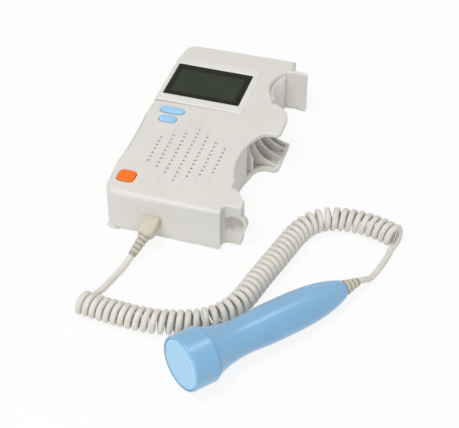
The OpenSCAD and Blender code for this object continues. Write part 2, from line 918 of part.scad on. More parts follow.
module speaker_gasket() {
    color([0.2, 0.2, 0.2])
    at_speaker(flange_z + flange_t) difference() {
        cylinder(h = gasket_t, d = speaker_d);
        translate([0, 0, -cut]) cylinder(h = gasket_t + 2 * cut, d = speaker_d - 2 * flange_w);
    }
}

module speaker_basket() {
    rim_r = speaker_d / 2 - flange_w;
    color(metal_color)
    at_speaker(basket_z) rotate_extrude() polygon([
        [0, 0], [throat_r, 0], [rim_r, basket_depth], [speaker_d / 2, basket_depth],
        [speaker_d / 2, basket_depth + flange_t], [rim_r, basket_depth + flange_t],
        [rim_r - basket_wall, basket_depth], [throat_r - basket_wall, basket_wall], [0, basket_wall]
    ]);
}

module speaker_magnet() {
    color([0.25, 0.25, 0.27])
    at_speaker(basket_z - magnet_t) cylinder(h = magnet_t, d = magnet_d);
}

dome_share = 0.33;

// Paper cone with its dome, on the tube of the voice coil
module speaker_cone() {
    edge_r = speaker_d / 2 - flange_w - run;
    dome_r = edge_r * dome_share;
    edge_z = basket_depth + flange_t - cone_t;
    deep_z = edge_z - basket_depth / 2;
    color([0.16, 0.16, 0.17])
    at_speaker(basket_z) rotate_extrude() polygon([
        [0, deep_z + cone_t], [dome_r - cone_t, deep_z], [dome_r - cone_t, basket_wall + run],
        [dome_r, basket_wall + run], [dome_r, deep_z], [edge_r - run, edge_z], [edge_r, edge_z + cone_t],
        [dome_r, deep_z + cone_t], [0, deep_z + 2 * cone_t]
    ]);
}

module cell_places() {
    for (i = [0:cell_count - 1])
        translate([0, bay_y1 - cell_pitch * (i + 0.5), cell_z])
            mirror([i % 2, 0, 0]) rotate([0, 90, 0]) children();
}

module battery_cells() {
    case_z = -(cell_l + cell_nub_l) / 2;
    color([0.2, 0.3, 0.5])
    cell_places() {
        translate([0, 0, case_z]) cylinder(h = cell_l, d = cell_d);
        translate([0, 0, case_z]) cylinder(h = cell_l + cell_nub_l, d = cell_nub_d);
    }
}

spring_d = 9;
spring_tip_d = 6;
contact_w = 10;

module battery_springs() {
    color(metal_color)
    cell_places() translate([0, 0, contact_t - bay_half])
        cylinder(h = contact_room - contact_t - seat, d1 = spring_d, d2 = spring_tip_d);
}

module battery_contacts() {
    color(metal_color)
    cell_places() {
        translate([-contact_w / 2, -contact_w / 2, -bay_half]) cube([contact_w, contact_w, contact_t]);
        translate([-contact_w / 2, -contact_w / 2, bay_half - contact_t])
            cube([contact_w, contact_w, contact_t]);
        translate([0, 0, bay_half - contact_room + seat])
            cylinder(h = contact_room - seat, d = spring_tip_d);
    }
}

drive_d = 2.4;

module housing_screws() {
    color(metal_color)
    difference() {
        union() {
            post_row(screw_head_d, screw_sunk, screw_sunk + screw_head_h);
            post_row(screw_d, screw_sunk, screw_sunk + screw_head_h + screw_l);
        }
        post_row(drive_d, -cut, screw_sunk + screw_head_h / 2);
    }
}

socket_middle = left_x + socket_x;

// Box around the socket's axis, from y0 on
module on_socket(w, h, y0, l) {
    translate([socket_middle - w / 2, y0, socket_z - h / 2]) cube([w, l, h]);
}

module probe_socket() {
    y0 = foot_y + run;
    riser_w = socket_w - 2 * socket_wall;
    color(metal_color) {
        difference() {
            on_socket(socket_w, socket_h, y0, socket_l);
            on_socket(riser_w, socket_h - 2 * socket_wall, y0 - cut, socket_l + cut - socket_wall);
        }
        translate([socket_middle - riser_w / 2, y0 + socket_l / 2, socket_z + socket_h / 2])
            cube([riser_w, socket_l / 2, board_z - socket_z - socket_h / 2]);
    }
}

plug_y0 = foot_y - seat;

module plug_shell() {
    gap = socket_wall + seat;
    color(metal_color)
    difference() {
        on_socket(socket_w - 2 * gap, socket_h - 2 * gap, plug_y0, shell_l);
        on_socket(
            socket_w - 2 * gap - 2 * socket_wall, socket_h - 2 * gap - 2 * socket_wall,
            plug_y0 + socket_wall, shell_l
        );
    }
}

// Sizes of a sleeve's parts, as shares of the grip's, the ring's and the cord's
plug_neck_share = 0.8;
ring_end_share = 1.15;
sleeve_share = 1.25;

module plug_overmold() {
    neck_l = plug_r;
    color(plug_color)
    translate([socket_middle, plug_y0, socket_z]) rotate([90, 0, 0]) {
        linear_extrude(plug_l) pill([0, 0], plug_w, plug_h, plug_r);
        translate([0, 0, plug_l]) linear_extrude(neck_l)
            pill([0, 0], plug_w * plug_neck_share, plug_h * plug_neck_share, plug_r * plug_neck_share);
    }
}

// Turns +Z to the direction d
module along(start, d) {
    translate(start) rotate([0, acos(d[2] / norm(d)), atan2(d[1], d[0])]) children();
}

// Tapered sleeve with raised rings, along +Z
module relief(l, d_thick, d_end) {
    pitch = l / (relief_rings + 1);
    ring_t = pitch / 2;
    cylinder(h = l, d1 = d_thick * plug_neck_share, d2 = d_end);
    for (i = [0:relief_rings - 1]) {
        share = (i + 0.5) / relief_rings;
        translate([0, 0, pitch * (i + 0.5)])
            cylinder(h = ring_t, d = d_thick + (d_end * ring_end_share - d_thick) * share);
    }
}

// The plug's sleeve hangs from the grip down towards the floor
relief_start = [socket_middle, plug_y0 - plug_l, socket_z - plug_r / 2];
relief_way = [-0.31, -0.82, -0.48];
relief_end = relief_start + relief_l * relief_way / norm(relief_way);
sleeve_d = cord_d * sleeve_share;

module plug_strain_relief() {
    color(plug_color)
    along(relief_start, relief_way) {
        relief(relief_l, relief_d, sleeve_d);
        sphere(d = relief_d * plug_neck_share);
    }
}

// Radius of the curls' middle line, and the lift that keeps cord and probe off the floor
curl_r = (coil_d - cord_d) / 2;
cord_lift = 0.1;
coil_z = coil_d / 2 + cord_lift;

// Route of the coil's axis over the floor
coil_route = [
    [-25, -165], [-9, -167], [7, -168], [20, -168], [32, -166], [44, -162], [54, -157],
    [62, -149], [68, -139], [71, -127], [74, -112], [78, -97], [82, -81], [85, -67],
    [91, -53], [102, -45], [114, -43], [126, -43], [138, -46], [148, -50]
];
curl_sides = 6;
curl_rings = 8;

// Cubic spline through a route: the place, slope and bend at u
padded_route = concat(
    [2 * coil_route[0] - coil_route[1]], coil_route,
    [2 * coil_route[len(coil_route) - 1] - coil_route[len(coil_route) - 2]]
);
route_end = len(coil_route) - 1;
function piece(u) = min(max(floor(u), 0), route_end - 1);
function weigh(u, w) = let (i = piece(u))
    w[0] * padded_route[i] + w[1] * padded_route[i + 1]
    + w[2] * padded_route[i + 2] + w[3] * padded_route[i + 3];
function place(u) = let (t = u - piece(u))
    weigh(u, [pow(1 - t, 3), 3 * pow(t, 3) - 6 * t * t + 4, 3 * (t + t * t - pow(t, 3)) + 1, pow(t, 3)] / 6);
function slope(u) = let (t = u - piece(u))
    weigh(u, [-pow(1 - t, 2), 3 * t * t - 4 * t, 1 + 2 * t - 3 * t * t, t * t] / 2);
function bend(u) = let (t = u - piece(u))
    weigh(u, [1 - t, 3 * t - 2, 1 - 3 * t, t]);
function curvature(u) = let (a = slope(u), b = bend(u))
    abs(a[0] * b[1] - a[1] * b[0]) / pow(norm(a), 3);

// Curls lie closer on a straight stretch than round a bend, where their insides would meet
function crowding(u) = norm(slope(u)) * (1 - curl_r * curvature(u));
route_steps = 20 * route_end;
route_total = route_end / route_steps
    * sum([for (k = [0:route_steps - 1]) crowding((k + 0.5) * route_end / route_steps)]);
function sum(v) = v * [for (x = v) 1];
ring_count = curl_count * curl_rings;
ring_share = route_total / ring_count;
ring_us = [
    for (
        k = 0, u = 0, half = 0;
        k <= ring_count;
        half = min(u + ring_share / crowding(u) / 2, route_end),
        u = min(u + ring_share / crowding(half), route_end),
        k = k + 1
    ) u
];

function out3(p, z) = [p[0], p[1], z];
function unit(v) = v / norm(v);
// Direction from the coil's axis to the curl at a ring
function spoke(k) = let (t = unit(slope(ring_us[k])), turn = -90 - 360 * k / curl_rings)
    [-t[1] * cos(turn), t[0] * cos(turn), sin(turn)];
function curl_point(k) = out3(place(ring_us[k]), coil_z) + curl_r * spoke(k);
curl_points = [for (k = [0:ring_count]) curl_point(k)];
// Level direction in which the cord runs from one point to another
function level_way(a, b) = unit([b[0] - a[0], b[1] - a[1], 0]);
way_in = level_way(curl_points[0], curl_points[1]);
way_out = level_way(curl_points[ring_count - 1], curl_points[ring_count]);
coil_in = curl_points[0] - cord_d * way_in;
coil_out = curl_points[ring_count] + cord_d * way_out;

// Least gap between neighbouring curls, measured between the tube's middle points
coil_gap = min([
    for (k = [0:ring_count - curl_rings - 3])
        for (j = [curl_rings - 2:curl_rings + 3])
            norm(curl_points[k] - curl_points[k + j])
]) - cord_d;
echo("least gap of the coil to itself, mm", coil_gap);

function tangent(p, i) = unit(p[min(i + 1, len(p) - 1)] - p[max(i - 1, 0)]);
function ring(c, t, ref, r, sides) = let (side = unit(cross(t, ref)), up = cross(side, t))
    [for (k = [0:sides - 1]) c + r * (cos(360 * k / sides) * side + sin(360 * k / sides) * up)];

// Tube through the points; refs are directions that its cross-sections are turned by
module tube(points, refs, d, sides) {
    n = len(points);
    rings = [for (i = [0:n - 1]) each ring(points[i], tangent(points, i), refs[i], d / 2, sides)];
    walls = [
        for (i = [0:n - 2])
            for (k = [0:sides - 1])
                let (a = i * sides + k, b = i * sides + (k + 1) % sides)
                    each [[a, b + sides, b], [a, a + sides, b + sides]]
    ];
    first_cap = [for (k = [1:sides - 2]) [0, k, k + 1]];
    last = (n - 1) * sides;
    last_cap = [for (k = [1:sides - 2]) [last, last + k + 1, last + k]];
    polyhedron(rings, concat(walls, first_cap, last_cap));
}

// Route of the lead from the plug's sleeve to the coil
plug_lead_route = [
    [-12.5, -120.5, 3.2], [-14, -125.5, 2.2], [-15.6, -132, 2.2], [-17.3, -139, 2.2],
    [-19.2, -146, 2.2], [-21.8, -151, 2.2]
];
// Route of the lead from the coil to the probe's sleeve
probe_lead_route = [
    [146, -61, 2.2], [144.6, -68, 2.2], [142.8, -76, 2.2], [141, -83, 2.6], [138.8, -89.5, 4.2]
];
lead_sides = 10;

module lead(points) {
    tube(points, [for (p = points) [0, 0, 1]], cord_d, lead_sides);
}

module plug_lead() {
    near = relief_end + cord_d / 2 * unit(relief_way);
    color(cord_color)
    lead(concat([relief_end, near], plug_lead_route, [coil_in - cord_d * way_in, coil_in]));
}

module coil_cord() {
    color(cord_color)
    tube(
        concat([coil_in], curl_points, [coil_out]),
        concat([spoke(0)], [for (k = [0:ring_count]) spoke(k)], [spoke(ring_count)]),
        cord_d, curl_sides
    );
}

module probe_lead() {
    near = tail_point + cord_d / 2 * probe_way;
    color(cord_color)
    lead(concat([coil_out, coil_out + cord_d * way_out], probe_lead_route, [near, tail_point]));
}

// The probe is drawn along +Z from its face, then laid on the floor with its face here
probe_x = 52.9;
probe_y = -205.1;
probe_way = [sin(probe_turn) * cos(probe_tilt), cos(probe_turn) * cos(probe_tilt), -sin(probe_tilt)];
// Places of the neck and of the fullest girth, as shares of the probe's length
neck_share = 0.377;
bulge_share = 0.541;
neck_z = probe_l * neck_share;
bulge_z = probe_l * bulge_share;
flare_power = 2.6;
tail_power = 3.4;
cap_edge = head_d / 2 - head_round / 2;

// Radius of the handle at a distance from the face
function handle_r(z) =
    z < neck_z ?
        neck_d / 2 + (cap_edge - neck_d / 2) * pow((neck_z - z) / (neck_z - head_l), flare_power)
    : z < bulge_z ?
        neck_d / 2 + (handle_d - neck_d) / 4 * (1 - cos(180 * (z - neck_z) / (bulge_z - neck_z)))
    :
        tail_d / 2 + (handle_d - tail_d) / 2 * (1 - pow((z - bulge_z) / (probe_l - bulge_z), tail_power));

handle_steps = 28;
handle_zs = [for (k = [0:handle_steps]) head_l + (probe_l - head_l) * k / handle_steps];
handle_outline = [for (z = handle_zs) [handle_r(z), z]];
// Height at which neither the cap nor the handle dips into the floor
probe_z = max(concat(
    [for (z = [head_round, head_l - head_round]) head_d / 2 * cos(probe_tilt) + z * sin(probe_tilt)],
    [for (p = handle_outline) p[0] * cos(probe_tilt) + p[1] * sin(probe_tilt)]
)) + cord_lift;
tail_relief_l = 12;
tail_point = [probe_x, probe_y, probe_z] + (probe_l + tail_relief_l) * probe_way;

module laid() {
    translate([probe_x, probe_y, probe_z])
        rotate([0, 0, -probe_turn]) rotate([-90 - probe_tilt, 0, 0]) children();
}

spigot_l = 5;
cap_bore_r = head_d / 2 - probe_wall;
spigot_r = cap_bore_r - seat;
seal_d = 1;
seal_z = head_l - spigot_l / 2;
seal_r = spigot_r - seal_d / 2;

function arc(middle, r, a0, a1) = [for (k = [0:6]) let (a = a0 + (a1 - a0) * k / 6)
    middle + r * [cos(a), sin(a)]];

module probe_head() {
    r = head_d / 2;
    face_r = face_d / 2 + seat;
    lip = face_t + probe_wall / 2;
    lip_r = face_r - probe_wall;
    color(probe_color)
    laid() rotate_extrude($fn = 96) polygon(concat(
        [[face_r, 0]],
        arc([r - head_round, head_round], head_round, -90, 0),
        arc([r - head_round, head_l - head_round], head_round, 0, 90),
        [[cap_bore_r, head_l], [cap_bore_r, lip], [lip_r, lip], [lip_r, face_t], [face_r, face_t]]
    ));
}

module probe_face() {
    color([0.6, 0.81, 0.96])
    laid() cylinder(h = face_t, d = face_d, $fn = 96);
}

module probe_seal() {
    color([0.15, 0.15, 0.15])
    laid() translate([0, 0, seal_z]) rotate_extrude() translate([seal_r, 0]) circle(d = seal_d, $fn = 16);
}

module probe_handle() {
    inner = [for (p = handle_outline) if (p[1] < probe_l - tail_d) p - [probe_wall, 0]];
    bottom = len(inner) - 1;
    groove_r = seal_r - (seal_d + seat) / 2;
    groove_half = seal_d / 2 + seat;
    color(probe_color)
    laid() difference() {
        rotate_extrude($fn = 96) polygon(concat(
            [[spigot_r, head_l - spigot_l], [spigot_r, seal_z - groove_half],
            [groove_r, seal_z - groove_half], [groove_r, seal_z + groove_half],
            [spigot_r, seal_z + groove_half], [spigot_r, head_l]],
            handle_outline,
            [[0, probe_l], [0, inner[bottom][1]]],
            [for (k = [0:bottom]) inner[bottom - k]],
            [[groove_r - probe_wall, head_l], [groove_r - probe_wall, head_l - spigot_l]]
        ));
        translate([0, 0, probe_l - cord_d]) cylinder(h = cord_d + cut, d = cord_d + 2 * seat);
    }
}

holder_z = face_t + crystal_t + 2 * seat;
holder_r = face_d / 2 - probe_wall - seat;
holder_t = 3;
backing_t = 6;
crystal_split = 0.8;

module crystal_holder() {
    color([0.9, 0.9, 0.88])
    laid() translate([0, 0, holder_z]) cylinder(h = holder_t, r = holder_r);
}

// One half of the split crystal disc
module half_crystal(side) {
    laid() translate([0, 0, face_t + seat]) intersection() {
        cylinder(h = crystal_t, d = crystal_d);
        translate([-crystal_d / 2, side > 0 ? crystal_split / 2 : -crystal_split / 2 - crystal_d, -cut])
            cube([crystal_d, crystal_d, crystal_t + 2 * cut]);
    }
}

module transmit_crystal() {
    color([0.85, 0.75, 0.5]) half_crystal(1);
}

module receive_crystal() {
    color([0.85, 0.75, 0.5]) half_crystal(-1);
}

module acoustic_backing() {
    color([0.3, 0.3, 0.32])
    laid() translate([0, 0, holder_z + holder_t]) cylinder(h = backing_t, d = crystal_d);
}

module probe_board() {
    w = neck_d - 2 * probe_wall - 2 * run;
    color(board_color)
    laid() translate([-w / 2, -board_t / 2, neck_z - probe_board_l / 3]) cube([w, board_t, probe_board_l]);
}

module probe_strain_relief() {
    color(plug_color)
    laid() {
        translate([0, 0, probe_l]) relief(tail_relief_l, tail_d - seat, sleeve_d);
        translate([0, 0, probe_l - cord_d + seat]) cylinder(h = cord_d, d = cord_d);
    }
}

front_housing();
rear_cover();
battery_door();
display_bezel();
display_window();
lcd_foam();
lcd_glass();
lcd_backlight();
lcd_pins();
main_board();
board_chips();
tact_switches();
upper_button();
lower_button();
power_button();
speaker_gasket();
speaker_basket();
speaker_magnet();
speaker_cone();
battery_cells();
battery_springs();
battery_contacts();
housing_screws();
probe_socket();
plug_shell();
plug_overmold();
plug_strain_relief();
plug_lead();
coil_cord();
probe_lead();
probe_strain_relief();
probe_handle();
probe_head();
probe_face();
probe_seal();
crystal_holder();
transmit_crystal();
receive_crystal();
acoustic_backing();
probe_board();
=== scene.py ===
import math

import bmesh
import bpy
import numpy as np
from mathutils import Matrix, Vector, geometry


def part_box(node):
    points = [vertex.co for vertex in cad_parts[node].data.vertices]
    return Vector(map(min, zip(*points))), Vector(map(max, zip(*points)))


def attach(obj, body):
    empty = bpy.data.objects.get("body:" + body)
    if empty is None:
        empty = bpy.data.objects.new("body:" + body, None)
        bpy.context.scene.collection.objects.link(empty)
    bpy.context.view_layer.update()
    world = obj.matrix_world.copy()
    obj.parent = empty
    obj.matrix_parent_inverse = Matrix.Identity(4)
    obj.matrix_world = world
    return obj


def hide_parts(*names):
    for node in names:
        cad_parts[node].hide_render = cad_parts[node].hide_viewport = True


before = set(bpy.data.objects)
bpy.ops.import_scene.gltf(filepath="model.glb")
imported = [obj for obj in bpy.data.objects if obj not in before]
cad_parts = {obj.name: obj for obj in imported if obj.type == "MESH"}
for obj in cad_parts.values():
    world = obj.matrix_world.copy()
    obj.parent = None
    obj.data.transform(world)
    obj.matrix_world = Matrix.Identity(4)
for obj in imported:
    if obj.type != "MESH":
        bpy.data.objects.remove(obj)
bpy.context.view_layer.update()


# Camera
# The doppler lies on its back on a white table and is seen from beyond its foot,
# a little to the right of it, looking down over the probe.
camera = bpy.data.objects.new("camera", bpy.data.cameras.new("camera"))
bpy.context.scene.collection.objects.link(camera)
camera.location = (0.2266, -0.6738, 0.5733)
camera.rotation_euler = (math.radians(90 - 41.37), 0, math.radians(17.08))
camera.data.lens = 101.5
camera.data.sensor_width = 36
camera.data.clip_start = 0.01
camera.data.clip_end = 20
bpy.context.scene.camera = camera
bpy.context.scene.view_settings.view_transform = "Standard"


# Curly cord
# One soft PVC cord from the plug's sleeve to the probe's: a straight lead, a coil
# of 51 curls that lies in a long S over the table, and a second straight lead.
# It is moulded on at both ends, and it is wound left-handed on an 8 mm mandrel.
MM = 0.001
CORD_D = 4.1
COIL_D = 16.0
CURLS = 51
CURL_R = (COIL_D - CORD_D) / 2
COIL_Z = COIL_D / 2 + 0.1
COIL_ROUTE = np.array([
    [-25, -165], [-9, -167], [7, -168], [20, -168], [32, -166], [44, -162], [54, -157],
    [62, -149], [68, -139], [71, -127], [74, -112], [78, -97], [82, -81], [85, -67],
    [91, -53], [102, -45], [114, -43], [126, -43], [138, -46], [148, -50],
], float)
PLUG_LEAD_ROUTE = np.array([
    [-12.5, -120.5, 3.2], [-14, -125.5, 2.2], [-15.6, -132, 2.2], [-17.3, -139, 2.2],
    [-19.2, -146, 2.2], [-21.8, -151, 2.2],
])
PROBE_LEAD_ROUTE = np.array([
    [146, -61, 2.2], [144.6, -68, 2.2], [142.8, -76, 2.2], [141, -83, 2.6], [138.8, -89.5, 4.2],
])


def unit(v):
    """Vectors of length one: each row divided by its own length."""
    v = np.asarray(v, float)
    return v / np.linalg.norm(v, axis=-1, keepdims=True)


def spline(route, u):
    """Place, slope and bend on a uniform cubic B-spline whose ends are padded by reflection."""
    padded = np.vstack([2 * route[0] - route[1], route, 2 * route[-1] - route[-2]])
    i = np.clip(np.floor(u).astype(int), 0, len(route) - 2)
    t = (u - i)[:, None]
    p0, p1, p2, p3 = (padded[i + k] for k in range(4))
    place = ((1 - t) ** 3 * p0 + (3 * t**3 - 6 * t * t + 4) * p1
             + (3 * (t + t * t - t**3) + 1) * p2 + t**3 * p3) / 6
    slope = (-(1 - t) ** 2 * p0 + (3 * t * t - 4 * t) * p1
             + (1 + 2 * t - 3 * t * t) * p2 + t * t * p3) / 2
    bend = (1 - t) * p0 + (3 * t - 2) * p1 + (1 - 3 * t) * p2 + t * p3
    return place, slope, bend


def coil_points(per_curl):
    """Helix round the route: the turn grows with the route's length, and slower where the curls' insides
    close up on a bend."""
    u = np.linspace(0, len(COIL_ROUTE) - 1, 4001)
    _, slope, bend = spline(COIL_ROUTE, u)
    speed = np.linalg.norm(slope, axis=1)
    curve = np.abs(slope[:, 0] * bend[:, 1] - slope[:, 1] * bend[:, 0]) / speed**3
    crowd = speed * (1 - CURL_R * curve)
    grown = np.concatenate([[0], np.cumsum((crowd[1:] + crowd[:-1]) / 2)])
    steps = np.linspace(0, 1, CURLS * per_curl + 1)
    place, slope, _ = spline(COIL_ROUTE, np.interp(steps * grown[-1], grown, u))
    t = unit(slope)
    turn = -math.pi / 2 - 2 * math.pi * CURLS * steps
    spoke = np.column_stack([-t[:, 1] * np.cos(turn), t[:, 0] * np.cos(turn), np.sin(turn)])
    centre = np.column_stack([place, np.full(len(place), COIL_Z)])
    return centre + CURL_R * spoke


def smooth_line(points, step):
    """Catmull-Rom curve through the points, sampled evenly by its length."""
    points = np.asarray(points, float)
    p = np.vstack([2 * points[0] - points[1], points, 2 * points[-1] - points[-2]])
    u = np.linspace(0, len(points) - 1, 40 * len(points))
    i = np.clip(np.floor(u).astype(int), 0, len(points) - 2)
    t = (u - i)[:, None]
    a, b, c, d = (p[i + k] for k in range(4))
    line = 0.5 * (2 * b + (c - a) * t + (2 * a - 5 * b + 4 * c - d) * t**2
                  + (3 * b - a - 3 * c + d) * t**3)
    run = np.concatenate([[0], np.cumsum(np.linalg.norm(np.diff(line, axis=0), axis=1))])
    even = np.linspace(0, run[-1], max(3, int(round(run[-1] / step)) + 1))
    return np.column_stack([np.interp(even, run, line[:, k]) for k in range(3)])


def mesh_piece(name, points, faces, smooth=True):
    """A mesh object at the origin from points in millimetres."""
    mesh = bpy.data.meshes.new(name)
    mesh.from_pydata((np.asarray(points) * MM).tolist(), [], faces)
    mesh.validate()
    piece = bpy.data.objects.new(name, mesh)
    bpy.context.scene.collection.objects.link(piece)
    mesh.polygons.foreach_set("use_smooth", np.full(len(mesh.polygons), smooth))
    return piece


def grid_faces(rows, columns, closed_rows=False):
    """Quads between neighbouring rows of a grid whose columns close on themselves."""
    i, k = np.meshgrid(np.arange(rows if closed_rows else rows - 1), np.arange(columns), indexing="ij")
    j, l = (i + 1) % rows, (k + 1) % columns
    return np.stack([i * columns + k, i * columns + l, j * columns + l, j * columns + k], -1).reshape(-1, 4)


def tube_piece(name, line, radius, sides):
    """A round tube: rings carried along the line without twisting, with a flat cap at each end."""
    t = unit(np.gradient(line, axis=0))
    side = np.empty_like(t)
    side[0] = unit(np.cross(t[0], [0.0, 0.0, 1.0]))
    for n in range(1, len(t)):
        turned = side[n - 1] - t[n] * (side[n - 1] @ t[n])
        side[n] = turned / np.linalg.norm(turned)
    up = np.cross(side, t)
    a = np.linspace(0, 2 * math.pi, sides, endpoint=False)
    radius = np.broadcast_to(np.asarray(radius, float), (len(line),))
    rings = line[:, None] + radius[:, None, None] * (
        np.cos(a)[None, :, None] * side[:, None] + np.sin(a)[None, :, None] * up[:, None])
    faces = grid_faces(len(line), sides)[:, ::-1].tolist()
    last = (len(line) - 1) * sides
    faces += [list(range(sides)), list(range(last + sides - 1, last - 1, -1))]
    return mesh_piece(name, rings.reshape(-1, 3), faces)


class Wire:
    """A socket of a material's node tree; arithmetic on it adds the Math nodes."""

    def __init__(self, paint, socket):
        self.paint, self.socket = paint, socket

    def _math(self, how, *values):
        return self.paint.node("ShaderNodeMath", {"operation": how}, *values)

    def __add__(self, other):
        return self._math("ADD", self, other)

    def __sub__(self, other):
        return self._math("SUBTRACT", self, other)

    def __rsub__(self, other):
        return self._math("SUBTRACT", other, self)

    def __mul__(self, other):
        return self._math("MULTIPLY", self, other)

    def ramp(self, low, high):
        """0 below low, 1 above high, smooth between them."""
        return self.paint.node(
            "ShaderNodeMapRange", {"interpolation_type": "SMOOTHSTEP"}, self, low, high, 0.0, 1.0)

    __radd__, __rmul__ = __add__, __mul__


class Paint:
    """One procedural material, built round a Principled shader that reads Object coordinates."""

    def __init__(self, name, color, rough, **fixed):
        self.material = bpy.data.materials.new(name)
        self.material.use_nodes = True
        self.tree = self.material.node_tree
        self.shader = self.tree.nodes["Principled BSDF"]
        self.color = tuple(color)
        self.shader.inputs["Base Color"].default_value = (*color, 1)
        self.shader.inputs["Roughness"].default_value = rough
        for key, value in fixed.items():
            self.shader.inputs[key.replace("_", " ")].default_value = value
        self.place = self.node("ShaderNodeTexCoord", {}, out="Object")

    def node(self, kind, settings, *values, out=0, **named):
        made = self.tree.nodes.new(kind)
        for key, value in settings.items():
            setattr(made, key, value)
        for key, value in [*enumerate(values), *named.items()]:
            socket = made.inputs[key if isinstance(key, int) else key.replace("_", " ")]
            if isinstance(value, Wire):
                self.tree.links.new(value.socket, socket)
            elif value is not None:
                socket.default_value = value
        return Wire(self, made.outputs[out])

    def noise(self, scale, detail=2.0, rough=0.5, place=None):
        return self.node("ShaderNodeTexNoise", {}, Vector=place or self.place,
                         Scale=scale, Detail=detail, Roughness=rough)

    def blend(self, factor, a, b):
        """Mix of two colours; each is a colour or a wire."""
        made = self.tree.nodes.new("ShaderNodeMix")
        made.data_type = "RGBA"
        for index, value in ((0, factor), (6, a), (7, b)):
            if isinstance(value, Wire):
                self.tree.links.new(value.socket, made.inputs[index])
            else:
                made.inputs[index].default_value = (*value, 1) if index else value
        return Wire(self, made.outputs[2])

    def set(self, **sockets):
        for key, wire in sockets.items():
            self.tree.links.new(wire.socket, self.shader.inputs[key.replace("_", " ")])
        return self

    def bump(self, height, depth, strength=1.0):
        """Relief of that depth in metres, worked into the shader's normal."""
        return self.set(Normal=self.node(
            "ShaderNodeBump", {}, Strength=strength, Distance=depth, Height=height, out="Normal"))


def srgb(r, g, b):
    """Linear colour from the 0 to 255 values of a screen colour."""
    return tuple(v / 12.92 if v <= 0.04045 else ((v + 0.055) / 1.055) ** 2.4
                 for v in (r / 255, g / 255, b / 255))


def soften(color, amount):
    """The same colour, darker below one and lighter above it."""
    return tuple(min(1.0, c * amount) for c in color)


CORD = srgb(226, 223, 214)
cord_vinyl = Paint("cord_vinyl", CORD, 0.42, Specular_IOR_Level=0.45)
rubbed = cord_vinyl.noise(160, 3)
cord_vinyl.set(
    Base_Color=cord_vinyl.blend(rubbed.ramp(0.35, 0.75), soften(CORD, 0.93), CORD),
    Roughness=rubbed * 0.16 + 0.34,
).bump(cord_vinyl.noise(1400, 2), 0.00006)

CURL_SAMPLES = 20
PLUG_FACE = np.array([-6.0, -88.15, 14.3])
PLUG_L = 14.0
SLEEVE_L = 15.0
sleeve_way = unit([-0.31, -0.82, -0.48])
sleeve_start = PLUG_FACE - [0, PLUG_L, 1.0]
sleeve_end = sleeve_start + SLEEVE_L * sleeve_way

PROBE_L, TAIL_SLEEVE_L = 122.0, 12.0
turn, tilt = math.radians(37.1), math.radians(4.3)
probe_way = np.array([math.sin(turn) * math.cos(tilt), math.cos(turn) * math.cos(tilt), -math.sin(tilt)])

HEAD_D, HEAD_L, HEAD_ROUND = 35.0, 17.0, 1.3
NECK_D, HANDLE_D, TAIL_D = 22.8, 24.6, 11.0
NECK_Z, BULGE_Z, FLARE, TAIL_FALL = PROBE_L * 0.377, PROBE_L * 0.541, 2.6, 3.4


def handle_radius(z):
    """The handle's radius along the probe: a flare from the cap to the neck, a swell, and a round tail."""
    edge = HEAD_D / 2 - HEAD_ROUND / 2
    flare = NECK_D / 2 + (edge - NECK_D / 2) * (np.clip(NECK_Z - z, 0, None) / (NECK_Z - HEAD_L)) ** FLARE
    swell = NECK_D / 2 + (HANDLE_D - NECK_D) / 4 * (1 - np.cos(math.pi * (z - NECK_Z) / (BULGE_Z - NECK_Z)))
    fall = np.clip(z - BULGE_Z, 0, None) / (PROBE_L - BULGE_Z)
    tail = TAIL_D / 2 + (HANDLE_D - TAIL_D) / 2 * (1 - fall**TAIL_FALL)
    return np.where(z < NECK_Z, flare, np.where(z < BULGE_Z, swell, tail))


handle_zs = HEAD_L + (PROBE_L - HEAD_L) * np.arange(29) / 28
probe_rest = 0.1 + max(
    *(HEAD_D / 2 * math.cos(tilt) + z * math.sin(tilt) for z in (HEAD_ROUND, HEAD_L - HEAD_ROUND)),
    *(handle_radius(handle_zs) * math.cos(tilt) + handle_zs * math.sin(tilt)))
probe_face_middle = np.array([52.9, -205.1, probe_rest])
tail_point = probe_face_middle + (PROBE_L + TAIL_SLEEVE_L) * probe_way

coil = coil_points(CURL_SAMPLES)
way_in, way_out = unit((coil[1] - coil[0]) * [1, 1, 0]), unit((coil[-1] - coil[-2]) * [1, 1, 0])
lead_in = smooth_line(np.vstack([
    sleeve_end, sleeve_end + CORD_D / 2 * sleeve_way, PLUG_LEAD_ROUTE,
    coil[0] - 2 * CORD_D * way_in, coil[0] - CORD_D * way_in, coil[0]]), 1.5)
lead_out = smooth_line(np.vstack([
    coil[-1], coil[-1] + CORD_D * way_out, coil[-1] + 2 * CORD_D * way_out, PROBE_LEAD_ROUTE,
    tail_point + CORD_D / 2 * probe_way, tail_point]), 1.5)
cord_line = np.vstack([lead_in[:-1], coil, lead_out[1:]])
cord = tube_piece("curly_cord", cord_line, CORD_D / 2, 10)
cord.data.materials.append(cord_vinyl.material)
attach(cord, "lead_set")
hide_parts("plug_lead", "coil_cord", "probe_lead")


# Plug and sleeves
# The plug's grip is soft PVC moulded round the metal shell that sits in the foot's
# socket. Its sleeve and the one at the probe's tail are moulded on the cord, with
# raised rings and grooves between them that let them bend.
PLUG = srgb(210, 205, 188)
plug_vinyl = Paint("plug_vinyl", PLUG, 0.5, Specular_IOR_Level=0.4)
handled = plug_vinyl.noise(220, 3)
# Painted shade: the grooves between the sleeves' rings are drawn darker, down to 0.45 of the vinyl's colour,
# through a point attribute of the sleeves.
grooved = plug_vinyl.node("ShaderNodeAttribute", {"attribute_name": "groove"}, out="Fac")
plug_vinyl.set(
    Base_Color=plug_vinyl.blend(grooved * 0.7, plug_vinyl.blend(
        handled.ramp(0.35, 0.7), soften(PLUG, 0.93), PLUG), soften(PLUG, 0.45)),
    Roughness=handled * 0.16 + 0.42,
).bump(plug_vinyl.noise(1700, 2), 0.00005)
PLUG_W, PLUG_H, PLUG_R = 12.2, 8.6, 2.0


